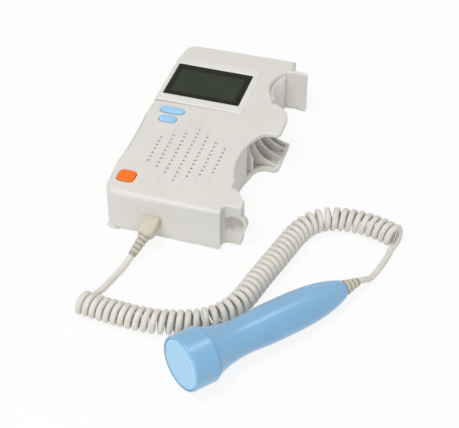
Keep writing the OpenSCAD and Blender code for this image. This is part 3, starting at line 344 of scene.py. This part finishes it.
def closed_piece(name, rings):
    """A solid from rings of points, one after another, with a flat cap at each end.

    Its signed volume tells which way its faces point, and they are turned outwards."""
    rows, columns = rings.shape[:2]
    points = rings.reshape(-1, 3)
    quads = grid_faces(rows, columns)
    a, b, c, d = (points[quads[:, k]] for k in range(4))
    volume = (np.cross(b - a, c - a) * a).sum() + (np.cross(c - a, d - a) * a).sum()
    for ring, way in ((rings[0], -1), (rings[-1], 1)):
        fan = np.cross(ring[1:-1] - ring[0], ring[2:] - ring[0])
        volume += way * (fan * ring[0]).sum()
    caps = [list(range(columns))[::-1], list(range((rows - 1) * columns, rows * columns))]
    faces = quads.tolist() + caps
    if volume < 0:
        faces = [f[::-1] for f in faces]
    return mesh_piece(name, points, faces)


def round_box(w, h, r, count=64):
    """Outline of a rounded rectangle: a circle of the corner's radius, its quarters drawn apart."""
    a = (np.arange(count) + 0.5) * 2 * math.pi / count
    x, y = np.cos(a), np.sin(a)
    return np.column_stack([x * r + np.sign(x) * (w / 2 - r), y * r + np.sign(y) * (h / 2 - r)])


def turned(name, origin, way, profile, sides=72):
    """A turned solid: each row of the profile is a distance along the axis and the radius there."""
    profile = np.asarray(profile, float)
    side = unit(np.cross(way, [0.0, 0.0, 1.0]))
    up = np.cross(side, way)
    a = np.linspace(0, 2 * math.pi, sides, endpoint=False)
    spokes = np.cos(a)[:, None] * side + np.sin(a)[:, None] * up
    rings = (origin + profile[:, :1] * way)[:, None] + profile[:, 1:, None] * spokes
    return closed_piece(name, rings)


def finish_piece(piece, paint, body, slot, *nodes, sharp=35):
    """Gives a piece its material, sharp edges and body, and hides the CAD nodes that it stands for.
    The slot is not used.
    """
    piece.data.materials.append(paint.material)
    piece.data.set_sharp_from_angle(angle=math.radians(sharp))
    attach(piece, body)
    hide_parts(*nodes)
    return piece


# The grip runs straight out of the socket, tapers, and sinks and turns a little towards
# its sleeve. Its mouth is eased, and its shoulder closes in over the last 4 mm.
MOUTH, MOUTH_IN, TAPER = 0.5, 0.06, 0.1
SHOULDER, SHOULDER_IN, SHOULDER_END = 4, 0.34, 4.05
s = np.concatenate([
    [0, 0.15, MOUTH], np.linspace(1, PLUG_L - SHOULDER, 8),
    PLUG_L - SHOULDER + SHOULDER * np.sin(np.linspace(0.15, math.pi / 2, 9))])
mouth = 1 - MOUTH_IN + MOUTH_IN * np.sqrt(np.clip(s / MOUTH, 0, 1))
share = np.where(s < MOUTH, mouth, 1) * (1 - TAPER * s / PLUG_L)
turned_in = np.clip((s - PLUG_L + SHOULDER) / SHOULDER_END, 0, 1)
share *= 1 - SHOULDER_IN * (1 - np.sqrt(1 - turned_in**2))
outline = round_box(PLUG_W, PLUG_H, PLUG_R)
droop = (s / PLUG_L)[:, None] ** 2 * [-0.3, 0, -1.0]
middles = PLUG_FACE + np.column_stack([np.zeros_like(s), -s, np.zeros_like(s)]) + droop
rings = np.repeat(middles[:, None], len(outline), 1)
rings[:, :, 0] += share[:, None] * outline[:, 0]
rings[:, :, 2] += share[:, None] * outline[:, 1]
finish_piece(closed_piece("plug_grip", rings), plug_vinyl, "lead_set", "plug", "plug_overmold", sharp=50)


def ringed_sleeve(name, start, way, length, thick, end, count, back, node):
    """A cone from a neck to the cord, with raised rings.

    Each ring's height is the root of a half sine over its stretch. A point attribute is one between
    the rings and falls to nothing on them; there the plastic is drawn darker, as painted shade in the
    grooves."""
    at = np.linspace(-back, length, 150)
    neck = thick * 0.4 + (end / 2 - thick * 0.4) * np.clip(at, 0, None) / length
    pitch = length / (count + 0.6)
    step = (at - 0.35 * pitch) / pitch
    k = np.clip(np.floor(step), 0, count - 1)
    ring = thick / 2 + (end * 0.575 - thick / 2) * (k + 0.5) / count
    t = step - k
    lift = np.sqrt(np.clip(np.sin(math.pi * np.clip(t / 0.62, 0, 1)), 0, 1))
    radius = neck + (ring - neck) * lift
    lip = np.array([[length, CORD_D / 2 * 0.98]])
    sleeve = turned(name, start, way, np.vstack([np.column_stack([at, radius]), lip]))
    # Painted shade: one in the grooves between the rings and nothing on the rings.
    low = np.append(np.where(at > 0, 1 - lift, 0), 0)
    groove = sleeve.data.attributes.new("groove", "FLOAT", "POINT")
    groove.data.foreach_set("value", np.repeat(low, len(sleeve.data.vertices) // len(low)))
    finish_piece(sleeve, plug_vinyl, "lead_set", "plug", node, sharp=60)


SLEEVE_D, SLEEVE_END = 8.0, 5.1
ringed_sleeve("plug_sleeve", sleeve_start, sleeve_way, SLEEVE_L, SLEEVE_D, SLEEVE_END, 4, 2.0,
              "plug_strain_relief")
probe_tail = probe_face_middle + PROBE_L * probe_way
ringed_sleeve("probe_sleeve", probe_tail, probe_way, TAIL_SLEEVE_L, TAIL_D - 0.15, SLEEVE_END, 3, 3.5,
              "probe_strain_relief")
tuple(sleeve_end * MM)


# Probe
# The probe is turned in one flowing line: a cap of glossy blue ABS pressed over the
# handle's spigot, a narrow seam between them, and a paler face bonded into the cap.
BLUE = srgb(122, 176, 217)
probe_abs = Paint("probe_abs", BLUE, 0.33, Specular_IOR_Level=0.5, Coat_Weight=0.6, Coat_Roughness=0.3)
sheen = probe_abs.noise(26, 2)
scuffs = probe_abs.noise(900, 4, 0.65)
probe_abs.set(
    Base_Color=probe_abs.blend(sheen.ramp(0.3, 0.7), soften(BLUE, 0.96), soften(BLUE, 1.03)),
    Roughness=scuffs.ramp(0.45, 0.75) * 0.1 + 0.3,
).bump(probe_abs.noise(1200, 2), 0.00002)
FACE_D, FACE_T, SEAM = 31.8, 1.5, 0.35


def quarter(z0, r0, dz, dr, steps=8):
    """A quarter ellipse in a profile, from (z0, r0) to (z0 + dz, r0 + dr), leaving along the radius."""
    a = np.linspace(0, math.pi / 2, steps)
    return np.column_stack([z0 + dz * (1 - np.cos(a)), r0 + dr * np.sin(a)])


r = HEAD_D / 2
rim = HEAD_ROUND
cap_profile = np.vstack([
    [[FACE_T, FACE_D / 2 + 0.15], [0.25, FACE_D / 2 + 0.15]],
    quarter(0, FACE_D / 2 + 0.4, rim, r - FACE_D / 2 - 0.4),
    np.column_stack([np.linspace(rim + 1, HEAD_L - 1.6, 14), np.full(14, r)]),
    quarter(HEAD_L - 0.9, r, 0.9, -0.8),
    [[HEAD_L, r - 1.4]],
])
finish_piece(turned("probe_cap", probe_face_middle, probe_way, cap_profile, 128),
             probe_abs, "lead_set", "probe", "probe_head", sharp=40)

z = HEAD_L + (PROBE_L - HEAD_L) * np.linspace(0, 1, 120)
line = handle_radius(z)
tail_round = 2.2
near = np.clip((z - PROBE_L + tail_round) / tail_round, 0, 1)
line = line - 1.3 * (1 - np.sqrt(1 - near**2 * 0.98))
handle_profile = np.vstack([
    [[HEAD_L - 2.0, line[0] - 1.6], [HEAD_L + SEAM - 0.1, line[0] - 1.6],
     [HEAD_L + SEAM, line[0] - 0.6]],
    np.column_stack([z[1:], line[1:]]),
    [[PROBE_L, CORD_D / 2 + 0.3]],
])
finish_piece(turned("probe_handle_skin", probe_face_middle, probe_way, handle_profile, 128),
             probe_abs, "lead_set", "probe", "probe_handle", sharp=40)

FACE = srgb(158, 208, 243)
face_resin = Paint("face_resin", FACE, 0.28, Coat_Weight=0.2, Coat_Roughness=0.15)
swirl = face_resin.noise(60, 3)
face_resin.set(
    Base_Color=face_resin.blend(swirl.ramp(0.3, 0.75), soften(FACE, 0.98), FACE),
    Roughness=face_resin.noise(90, 2) * 0.08 + 0.24,
)
across = np.linspace(0, 1, 12)[1:] * (FACE_D / 2 - 0.5)
face_profile = np.vstack([
    np.column_stack([0.25 - 0.15 * (1 - (across / (FACE_D / 2)) ** 2), across]),
    [[0.4, FACE_D / 2 - 0.12], [0.6, FACE_D / 2], [FACE_T, FACE_D / 2]],
])
finish_piece(turned("probe_face_plate", probe_face_middle, probe_way, face_profile, 96),
             face_resin, "lead_set", "probe_face", "probe_face", sharp=40)


# The unit's shells
# Front housing and rear cover are injection mouldings in warm white ABS with a fine
# spark-eroded skin, screwed together from behind. Their mould edges are radiused:
# widest round the outside, finer round the notches, the grooves and the holes.
BODY_T, SEAM_H = 33.0, 4.7
SEAM_RIM = 0.25
# A step this far to the side of a border tells which side of it is solid.
SIDE_STEP = 0.01


def outline_loops(edges):
    """Closed loops of vertices from boundary edges, each walked in the order in which its edges join."""
    near = {}
    for e in edges:
        for v in e.verts:
            near.setdefault(v, []).append(e)
    loops, left = [], dict.fromkeys(edges)
    while left:
        e, _ = left.popitem()
        start, v = e.verts
        loop = [start]
        while v is not start:
            loop.append(v)
            e = next(x for x in near[v] if x in left)
            del left[e]
            v = e.other_vert(v)
        loops.append(loop)
    return loops


def inset(points, widths):
    """The loop moved to its left by its widths, with mitred corners.

    Where an arc is tighter than the width, its points meet."""
    ahead = np.roll(points, -1, 0) - points
    ahead /= np.maximum(np.linalg.norm(ahead, axis=1, keepdims=True), 1e-9)
    left = np.column_stack([-ahead[:, 1], ahead[:, 0]])
    before = np.roll(left, 1, 0)
    both = before + left
    both /= np.maximum((both * left).sum(1, keepdims=True), 0.35)
    moved = points + both * widths[:, None]
    for _ in range(40):
        step = np.roll(moved, -1, 0) - moved
        backward = (step * ahead).sum(1) < -1e-9
        if not backward.any():
            break
        k = np.flatnonzero(backward)
        middle = (moved[k] + moved[(k + 1) % len(moved)]) / 2
        moved[k] = middle
        moved[(k + 1) % len(moved)] = middle
    return moved


def inside(points, loops):
    """Even-odd test of many points against all the loops at once."""
    odd = np.zeros(len(points), bool)
    for loop in loops:
        a, b = loop, np.roll(loop, -1, 0)
        with np.errstate(divide="ignore", invalid="ignore"):
            for p, q in zip(a, b):
                if p[1] != q[1]:
                    crosses = ((p[1] > points[:, 1]) != (q[1] > points[:, 1])) & (
                        points[:, 0] < (q[0] - p[0]) * (points[:, 1] - p[1]) / (q[1] - p[1]) + p[0])
                    odd ^= crosses
    return odd


def round_rims(bm, level, up, width_at, steps=4):
    """Gives the flat faces at a level rounded rims.

    Every loop of their border goes down by its width, a quarter round is carried along it,
    and the flat between the moved loops is filled again."""
    level_m = level * MM
    flat = [f for f in bm.faces if f.normal.z * up > 0.999
            and abs(f.calc_center_median().z - level_m) < 2e-6]
    chosen = set(flat)
    border = [e for f in flat for e in f.edges if sum(x in chosen for x in e.link_faces) == 1]
    loops = []
    for loop in outline_loops(list(dict.fromkeys(border))):
        xy = np.array([v.co.xy for v in loop]) / MM
        side = np.array([-(xy[1] - xy[0])[1], (xy[1] - xy[0])[0]])
        side = side / max(np.linalg.norm(side), 1e-9) * SIDE_STEP
        loops.append([loop, xy, side])
    every = [xy for _, xy, _ in loops]
    bmesh.ops.delete(bm, geom=flat, context="FACES_ONLY")
    flat_rings = []
    for loop, xy, side in loops:
        if not inside(((xy[0] + xy[1]) / 2 + side)[None], every)[0]:
            loop.reverse()
            xy = xy[::-1]
        widths = np.array([width_at(x, y) for x, y in xy])
        target = inset(xy, widths)
        rings = [loop]
        for v, w in zip(loop, widths):
            v.co.z = level_m - up * w * MM
        for k in range(1, steps + 1):
            a = math.pi / 2 * k / steps
            share, rise = 1 - math.cos(a), math.sin(a)
            at = xy + (target - xy) * share
            z = level_m - up * widths * (1 - rise) * MM
            rings.append([bm.verts.new((x * MM, y * MM, h)) for (x, y), h in zip(at, z)])
        count = len(loop)
        for low, high in zip(rings, rings[1:]):
            for k in range(count):
                quad = [low[k], low[(k + 1) % count], high[(k + 1) % count], high[k]]
                if up < 0:
                    quad.reverse()
                try:
                    bm.faces.new(quad)
                except ValueError:
                    pass
        flat_rings.append((rings[-1], target))
    points = [Vector(p) for _, target in flat_rings for p in target]
    verts = [v for ring, _ in flat_rings for v in ring]
    edges, start = [], 0
    for ring, _ in flat_rings:
        count = len(ring)
        edges += [(start + k, start + (k + 1) % count) for k in range(count)]
        start += count
    out = geometry.delaunay_2d_cdt(points, edges, [], 0, 1e-5)
    found, faces, origins = out[0], out[2], out[3]
    made = [verts[o[0]] if o else bm.verts.new((p.x * MM, p.y * MM, level_m)) for p, o in zip(found, origins)]
    corners = np.array([[tuple(found[i]) for i in f] for f in faces])
    keep = inside(corners.mean(1), [target for _, target in flat_rings])
    for f, good in zip(faces, keep):
        if good:
            corner = [made[i] for i in (f if up > 0 else f[::-1])]
            if len(set(corner)) == 3:
                try:
                    bm.faces.new(corner)
                except ValueError:
                    pass


def rounded_copy(name, node, rims, body):
    """A copy of a CAD node's mesh with its triangles joined into flat faces and rims rounded as listed."""
    bm = bmesh.new()
    bm.from_mesh(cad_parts[node].data)
    bmesh.ops.remove_doubles(bm, verts=bm.verts, dist=2e-6)
    bmesh.ops.dissolve_limit(bm, angle_limit=math.radians(0.4), verts=bm.verts, edges=bm.edges)
    for level, up, width_at in rims:
        bm.normal_update()
        round_rims(bm, level, up, width_at)
    bmesh.ops.remove_doubles(bm, verts=bm.verts, dist=1e-6)
    bm.normal_update()
    mesh = bpy.data.meshes.new(name)
    bm.to_mesh(mesh)
    bm.free()
    piece = bpy.data.objects.new(name, mesh)
    bpy.context.scene.collection.objects.link(piece)
    mesh.polygons.foreach_set("use_smooth", np.ones(len(mesh.polygons), bool))
    mesh.set_sharp_from_angle(angle=math.radians(35))
    even = piece.modifiers.new("even", "WEIGHTED_NORMAL")
    even.keep_sharp = True
    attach(piece, body)
    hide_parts(node)
    return piece


OUTER_RIM, CORNER_RIM, SCOOP_EASE = 2.4, 4.0, 1.9
NOTCH_RIM, KEY_HOLE_RIM, GROOVE_RIM, SEAT_RIM = 1.3, 0.35, 0.27, 0.08
CORNER_X, CORNER_Y, CORNER_REACH = 24, 72, 16
SCOOP_Y, SCOOP_HALF, SCOOP_FADE = -30, 40, 9
BLUE_KEYS_X, BLUE_KEYS_HALF = -23.5, 10


def front_rim(x, y):
    """Rim of the front face at a point: wide outside and widest round the left corners, narrow
    along the scoop and the notches, and finest at the grooves and the display's seat."""
    if -39.9 < x < 24.1 and 14.9 < y < 69.1:
        return SEAT_RIM
    if x < -36 or abs(y) > 86:
        corner = (max(0.0, -x - CORNER_X) / CORNER_REACH
                  * max(0.0, abs(y) - CORNER_Y) / CORNER_REACH)
        scoop = min(1.0, max(0.0, (SCOOP_HALF - abs(y - SCOOP_Y)) / SCOOP_FADE)) if x < -34 else 0.0
        return OUTER_RIM + CORNER_RIM * min(corner, 0.4) - SCOOP_EASE * scoop
    if x > 30:
        return NOTCH_RIM
    by_blue_keys = abs(x - BLUE_KEYS_X) < BLUE_KEYS_HALF and -14 < y < 10
    by_power_key = x < -22 and y < -63
    return KEY_HOLE_RIM if by_blue_keys or by_power_key else GROOVE_RIM


WHITE = srgb(222, 221, 216)
white_abs = Paint("white_abs", WHITE, 0.45)
cloud = white_abs.noise(38, 3)
white_abs.set(
    Base_Color=white_abs.blend(cloud.ramp(0.3, 0.7), soften(WHITE, 0.97), WHITE),
    Roughness=white_abs.noise(300, 3) * 0.14 + 0.4,
).bump(white_abs.noise(2600, 2), 0.00003)

front = rounded_copy("front_shell", "front_housing", [
    (BODY_T, 1, front_rim),
    (SEAM_H, -1, lambda x, y: SEAM_RIM),
], "unit")
front.data.materials.append(white_abs.material)


BACK_RIM, BACK_CORNER_RIM, OPENING_RIM = 2.0, 3.6, 0.25


def cover_rim(x, y):
    """Rim of the back face at a point: wide outside, wider at the foot's left corner, fine at the
    openings."""
    if x < -28 and y < -76:
        return BACK_CORNER_RIM
    return BACK_RIM if abs(x) > 39 or abs(y) > 87 else OPENING_RIM


rear = rounded_copy("rear_shell", "rear_cover", [
    (SEAM_H, 1, lambda x, y: SEAM_RIM),
    (0.0, -1, cover_rim),
], "unit")
rear.data.materials.append(white_abs.material)


# Display
# A frame of paler ABS is pressed into the front's seat, round a smoked acrylic lens.
# The lens is printed black behind its border; the dark green glass shows inside it.
FRAME_WHITE = srgb(226, 226, 221)
frame_abs = Paint("frame_abs", FRAME_WHITE, 0.4)
frame_abs.set(
    Base_Color=frame_abs.blend(
        frame_abs.noise(45, 3).ramp(0.3, 0.7), soften(FRAME_WHITE, 0.97), FRAME_WHITE),
    Roughness=frame_abs.noise(300, 3) * 0.12 + 0.34,
).bump(frame_abs.noise(2600, 2), 0.00002)


lens_low, lens_high = (np.array(corner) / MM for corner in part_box("display_window"))
seat_low, seat_high = (np.array(corner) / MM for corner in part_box("display_bezel"))
FRAME_TOP, FRAME_POINTS = 33.5, 128


def frame_ring():
    """The frame's surface: rings that go from the seat's edge to the lens, over a low roof.

    It leaves the front flush and rises in a smooth step, but rolls over the unit's left edge,
    and slopes down to the lens."""
    seat_middle, lens_middle = (seat_high + seat_low)[:2] / 2, (lens_high + lens_low)[:2] / 2
    outer = round_box(*(seat_high - seat_low)[:2] + [0.12, 0.26], 0.4, FRAME_POINTS) + seat_middle
    outer[:, 0] = np.maximum(outer[:, 0] + 0.06, -39.98)
    inner = round_box(*(lens_high - lens_low)[:2] + 0.1, 0.7, FRAME_POINTS) + lens_middle
    reach = np.linalg.norm(inner - outer, axis=1)
    left = outer[:, 0] < -39.9
    foot = np.full(FRAME_POINTS, seat_low[2] + 0.02)
    rings = [np.column_stack([outer, foot])]
    steps = np.concatenate([np.linspace(0, 1.6, 9), [2.0]])
    for step in steps:
        share = np.minimum(step / reach, 0.45)[:, None]
        rise = np.clip(step / 1.6, 0, 1)
        flush = FRAME_TOP - 0.52 + 0.52 * rise * rise * (3 - 2 * rise)
        rolled = FRAME_TOP - 1.4 + 1.4 * math.sqrt(1 - (1 - min(step / 1.5, 1)) ** 2)
        at = outer + (inner - outer) * share
        rings.append(np.column_stack([at, np.where(left, rolled, flush)]))
    for step in (1.7, 1.3, 0.9, 0.5, 0.15, 0.0):
        share = 1 - np.minimum(step / reach, 0.5)[:, None]
        fall = (1 - min(step / 1.5, 1)) ** 1.5
        at = outer + (inner - outer) * share
        rings.append(np.column_stack([at, np.full(FRAME_POINTS, FRAME_TOP - 0.5 * fall)]))
    rings.append(np.column_stack([inner, foot]))
    rings = np.array(rings)
    faces = grid_faces(len(rings), FRAME_POINTS, True)
    return mesh_piece("bezel_frame", rings.reshape(-1, 3), faces.tolist())


finish_piece(frame_ring(), frame_abs, "unit", "bezel", "display_bezel")

lens_mid = (lens_low + lens_high) / 2
LENS = srgb(50, 58, 42)
BORDER = srgb(33, 31, 24)
smoked = Paint("smoked_lens", LENS, 0.3, Specular_IOR_Level=0.08)
at = smoked.node("ShaderNodeSeparateXYZ", {}, smoked.place)
x, y = at, Wire(smoked, at.socket.node.outputs[1])
side = smoked.node("ShaderNodeMath", {"operation": "ABSOLUTE"}, x - lens_mid[0] * MM) * 1000
along = smoked.node("ShaderNodeMath", {"operation": "ABSOLUTE"}, y - (lens_mid[1] - 1.0) * MM) * 1000
border = smoked.node(
    "ShaderNodeMath", {"operation": "MAXIMUM"}, side.ramp(22.6, 24.6), along.ramp(12.6, 14.6))
haze = smoked.noise(55, 3)
smoked.set(
    Base_Color=smoked.blend(
        border, smoked.blend(haze.ramp(0.3, 0.7), soften(LENS, 0.9), LENS), BORDER),
    Roughness=smoked.noise(700, 3).ramp(0.5, 0.8) * 0.12 + 0.24,
)


def slab(name, low, high, rim, count=48, corner=0.6):
    """A plate with rounded corners: its side goes up to a quarter-round rim, then to a flat top."""
    w, l = high[:2] - low[:2]
    middle = (low[:2] + high[:2]) / 2
    a = np.linspace(0, math.pi / 2, 5)
    inward = rim + (min(w, l) / 2 - rim) * np.linspace(0.1, 0.9, 6)
    insets = np.concatenate([[0], rim * (1 - np.cos(a)), inward])
    heights = np.concatenate([[low[2]], high[2] - rim + rim * np.sin(a), high[2] + np.zeros(6)])
    rings = []
    for inset_by, z in zip(insets, heights):
        ring = round_box(w - 2 * inset_by, l - 2 * inset_by, max(corner - inset_by, 0.05), count) + middle
        rings.append(np.column_stack([ring, np.full(count, z)]))
    return closed_piece(name, np.array(rings))


finish_piece(slab("lens", lens_low, lens_high, 0.25), smoked, "unit", "lens", "display_window")


# Buttons
# Three caps of soft-touch ABS stand a little out of the front: two pale blue pills and a
# square orange one. Each has a rim behind the front and a stem over its switch.
KEY_RIM, KEY_RIM_T, STEM_L, STEM_R = 0.8, 1.2, 1.0, 2.0


def key_cap(name, node, body, corner, bevel, crown):
    """Rings from the stem up: stem, rim behind the front, straight side, a bevel of a quarter
    ellipse, and a crown that rises as a parabola over the cap's half width."""
    low, high = (np.array(c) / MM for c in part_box(node))
    middle = (low[:2] + high[:2]) / 2
    w, l = high[:2] - low[:2] - 2 * KEY_RIM
    rim_z = low[2] + STEM_L
    top = high[2]
    a = np.linspace(0, math.pi / 2, 9)
    half = min(w, l) / 2
    deep = bevel + (half - bevel) * np.linspace(0.12, 0.93, 9)
    rows = [(-KEY_RIM, rim_z), (-KEY_RIM, rim_z + KEY_RIM_T), (0, rim_z + KEY_RIM_T), (0, top - 0.9)]
    rows += list(zip(bevel * (1 - np.cos(a)), top - crown - 0.75 + 0.75 * np.sin(a)))
    rows += list(zip(deep, top - crown * ((half - deep) / (half - bevel)) ** 2))
    count = 96
    stem = round_box(2 * STEM_R, 2 * STEM_R, STEM_R - 0.02, count) + middle
    rings = [np.column_stack([stem, np.full(count, z)]) for z in (low[2], rim_z)]
    for inset_by, z in rows:
        ring = round_box(w - 2 * inset_by, l - 2 * inset_by, max(corner - inset_by, 0.05), count) + middle
        rings.append(np.column_stack([ring, np.full(count, z)]))
    return closed_piece(name, np.array(rings))


def key_plastic(name, color, rough):
    """Soft-touch plastic: a fine even grain, a little worn and glossier in patches."""
    paint = Paint(name, color, rough, Specular_IOR_Level=0.4)
    worn = paint.noise(240, 3)
    paint.set(
        Base_Color=paint.blend(worn.ramp(0.3, 0.7), soften(color, 0.95), color),
        Roughness=worn * 0.16 + (rough - 0.08),
    ).bump(paint.noise(2200, 2), 0.00003)
    return paint


blue_key = key_plastic("blue_key", srgb(158, 209, 248), 0.4)
orange_key = key_plastic("orange_key", srgb(250, 116, 14), 0.4)
finish_piece(key_cap("upper_key_cap", "upper_button", "upper_key", 3.45, 1.0, 0.3),
             blue_key, "upper_key", "blue_key", "upper_button")
finish_piece(key_cap("lower_key_cap", "lower_button", "lower_key", 3.65, 1.0, 0.3),
             blue_key, "lower_key", "blue_key", "lower_button")
finish_piece(key_cap("power_key_cap", "power_button", "power_key", 3.0, 1.2, 0.35),
             orange_key, "power_key", "orange_key", "power_button")


# Battery door
# The door is a flat panel of the same ABS as the cover, moulded with the tongues that run
# in the cover's grooves; its outer edges are radiused a little.
door = rounded_copy("door_panel", "battery_door", [(0.2, -1, lambda x, y: 0.3)], "door")
door.data.materials.append(white_abs.material)


# What is inside
# Under the front lie the display's layers on their pins, the circuit board, the key
# switches and the speaker; the cells, their springs and plates sit in the cover's bay.
def cad_finish(paint, *nodes):
    """Gives CAD nodes that keep their own shape a procedural material."""
    for name in nodes:
        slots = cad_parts[name].data.materials
        slots.clear()
        slots.append(paint.material)


def grained(name, color, rough, grain, relief, spread=0.08, **fixed):
    """A material whose colour and roughness wander with a noise of that scale, over a fine relief."""
    paint = Paint(name, color, rough, **fixed)
    wander = paint.noise(grain, 3)
    paint.set(
        Base_Color=paint.blend(
            wander.ramp(0.3, 0.7), soften(color, 1 - spread), soften(color, 1 + spread / 2)),
        Roughness=wander * 0.2 + (rough - 0.1),
    )
    return paint.bump(paint.noise(grain * 8, 2), relief)


solder_mask = Paint("solder_mask", srgb(24, 92, 48), 0.35)
place = solder_mask.node("ShaderNodeVectorMath", {"operation": "SCALE"}, solder_mask.place, Scale=1000.0)
bricks = solder_mask.node(
    "ShaderNodeTexBrick", {}, place, srgb(34, 116, 62) + (1,), srgb(22, 84, 44) + (1,),
    srgb(150, 150, 120) + (1,), Scale=0.32, Mortar_Size=0.018)
solder_mask.set(Base_Color=bricks, Roughness=solder_mask.noise(400, 3) * 0.2 + 0.25)
cad_finish(solder_mask, "main_board", "probe_board")
cad_finish(grained("foam", srgb(40, 40, 42), 0.95, 900, 0.0002, 0.3), "lcd_foam", "speaker_gasket")
glass = grained("lcd_glass", srgb(70, 82, 58), 0.12, 60, 0.00001, 0.05, Coat_Weight=0.5)
cad_finish(glass, "lcd_glass")
white_plastic = grained("white_plastic", srgb(230, 230, 226), 0.5, 220, 0.00003)
cad_finish(white_plastic, "lcd_backlight", "crystal_holder")
cad_finish(grained("chip_epoxy", srgb(30, 30, 33), 0.55, 500, 0.00004), "board_chips")
cad_finish(grained("switch_plastic", srgb(34, 34, 36), 0.45, 400, 0.00003), "tact_switches")
steel = grained("bright_steel", srgb(196, 196, 200), 0.32, 260, 0.00002, 0.1, Metallic=1.0)
cad_finish(steel, "lcd_pins", "speaker_basket", "battery_springs", "battery_contacts",
           "probe_socket", "plug_shell")
zinc = grained("zinc_steel", srgb(176, 177, 184), 0.38, 600, 0.00003, 0.16, Metallic=1.0)
cad_finish(zinc, "housing_screws")
cad_finish(grained("ferrite", srgb(62, 62, 66), 0.6, 350, 0.00005, 0.15), "speaker_magnet")
cad_finish(grained("cone_paper", srgb(44, 42, 42), 0.9, 700, 0.0001, 0.25), "speaker_cone")
cad_finish(grained("seal_rubber", srgb(34, 34, 34), 0.7, 300, 0.00003, 0.2), "probe_seal")
ceramic = grained("ceramic", srgb(214, 196, 150), 0.5, 500, 0.00002, 0.12)
cad_finish(ceramic, "transmit_crystal", "receive_crystal")
cad_finish(grained("backing_resin", srgb(74, 76, 82), 0.6, 240, 0.00003, 0.12), "acoustic_backing")
cell_wrap = Paint("cell_wrap", srgb(48, 74, 128), 0.35, Coat_Weight=0.3, Coat_Roughness=0.2)
gap = cell_wrap.node("ShaderNodeSeparateXYZ", {}, cell_wrap.place)
ends = cell_wrap.node("ShaderNodeMath", {"operation": "ABSOLUTE"}, gap).ramp(0.0244, 0.0247)
film = cell_wrap.blend(
    cell_wrap.noise(90, 2).ramp(0.3, 0.7), srgb(44, 68, 120), srgb(54, 82, 138))
cell_wrap.set(
    Base_Color=cell_wrap.blend(ends, film, srgb(190, 190, 194)),
    Metallic=ends * 1.0,
    Roughness=cell_wrap.noise(500, 3) * 0.15 + 0.27,
)
cad_finish(cell_wrap, "battery_cells")


# Table and light
# A white sweep under a large soft lamp from the upper left, a fill from the front and
# a small lamp from behind, whose reflection runs along the probe; the table keeps a faint
# contact shadow.
TABLE_HALF, TABLE_DROP, GLOW_SHARE, ROOM_LIGHT = 3000, 0.3, 0.88, 0.45
corners = np.array([[-1, -1], [1, -1], [1, 1], [-1, 1]]) * TABLE_HALF
table = mesh_piece("table", np.column_stack([corners, np.full(4, -TABLE_DROP)]), [(0, 1, 2, 3)])
sweep = bpy.data.materials.new("white_sweep")
sweep.use_nodes = True
tree = sweep.node_tree
matte = tree.nodes["Principled BSDF"]
matte.inputs["Base Color"].default_value = (0.9, 0.9, 0.9, 1)
matte.inputs["Roughness"].default_value = 1
matte.inputs["Specular IOR Level"].default_value = 0
glow = tree.nodes.new("ShaderNodeEmission")
glow.inputs["Strength"].default_value = 1.0
ray = tree.nodes.new("ShaderNodeLightPath")
seen = tree.nodes.new("ShaderNodeMath")
seen.operation = "MAXIMUM"
tree.links.new(ray.outputs["Is Camera Ray"], seen.inputs[0])
tree.links.new(ray.outputs["Is Glossy Ray"], seen.inputs[1])
share = tree.nodes.new("ShaderNodeMath")
share.operation = "MULTIPLY"
share.inputs[1].default_value = GLOW_SHARE
tree.links.new(seen.outputs[0], share.inputs[0])
both = tree.nodes.new("ShaderNodeMixShader")
tree.links.new(share.outputs[0], both.inputs[0])
tree.links.new(matte.outputs[0], both.inputs[1])
tree.links.new(glow.outputs[0], both.inputs[2])
tree.links.new(both.outputs[0], tree.nodes["Material Output"].inputs[0])
table.data.materials.append(sweep)

room = bpy.data.worlds.new("white_room")
bpy.context.scene.world = room
room.use_nodes = True
tree = room.node_tree
sky = tree.nodes["Background"]
sky.inputs["Color"].default_value = (1, 0.97, 0.93, 1)
ray = tree.nodes.new("ShaderNodeLightPath")
seen = tree.nodes.new("ShaderNodeMath")
seen.operation = "MAXIMUM"
tree.links.new(ray.outputs["Is Camera Ray"], seen.inputs[0])
tree.links.new(ray.outputs["Is Glossy Ray"], seen.inputs[1])
level = tree.nodes.new("ShaderNodeMapRange")
level.inputs["To Min"].default_value = ROOM_LIGHT
level.inputs["To Max"].default_value = 1.0
tree.links.new(seen.outputs[0], level.inputs["Value"])
tree.links.new(level.outputs[0], sky.inputs["Strength"])


def lamp(name, place, size, watts):
    """A square soft lamp at a place, turned to the middle of the object."""
    light = bpy.data.lights.new(name, "AREA")
    light.size, light.energy = size, watts
    holder = bpy.data.objects.new(name, light)
    holder.location = place
    way = Vector((0.05, -0.05, 0)) - Vector(place)
    holder.rotation_euler = way.to_track_quat("-Z", "Y").to_euler()
    bpy.context.scene.collection.objects.link(holder)


lamp("key_lamp", (-0.3, -0.55, 1.4), 0.6, 9.5)
lamp("fill_lamp", (0.1, -1.7, 0.7), 1.2, 7.5)
lamp("back_lamp", (0.47, 0.28, 1.07), 0.28, 1.6)
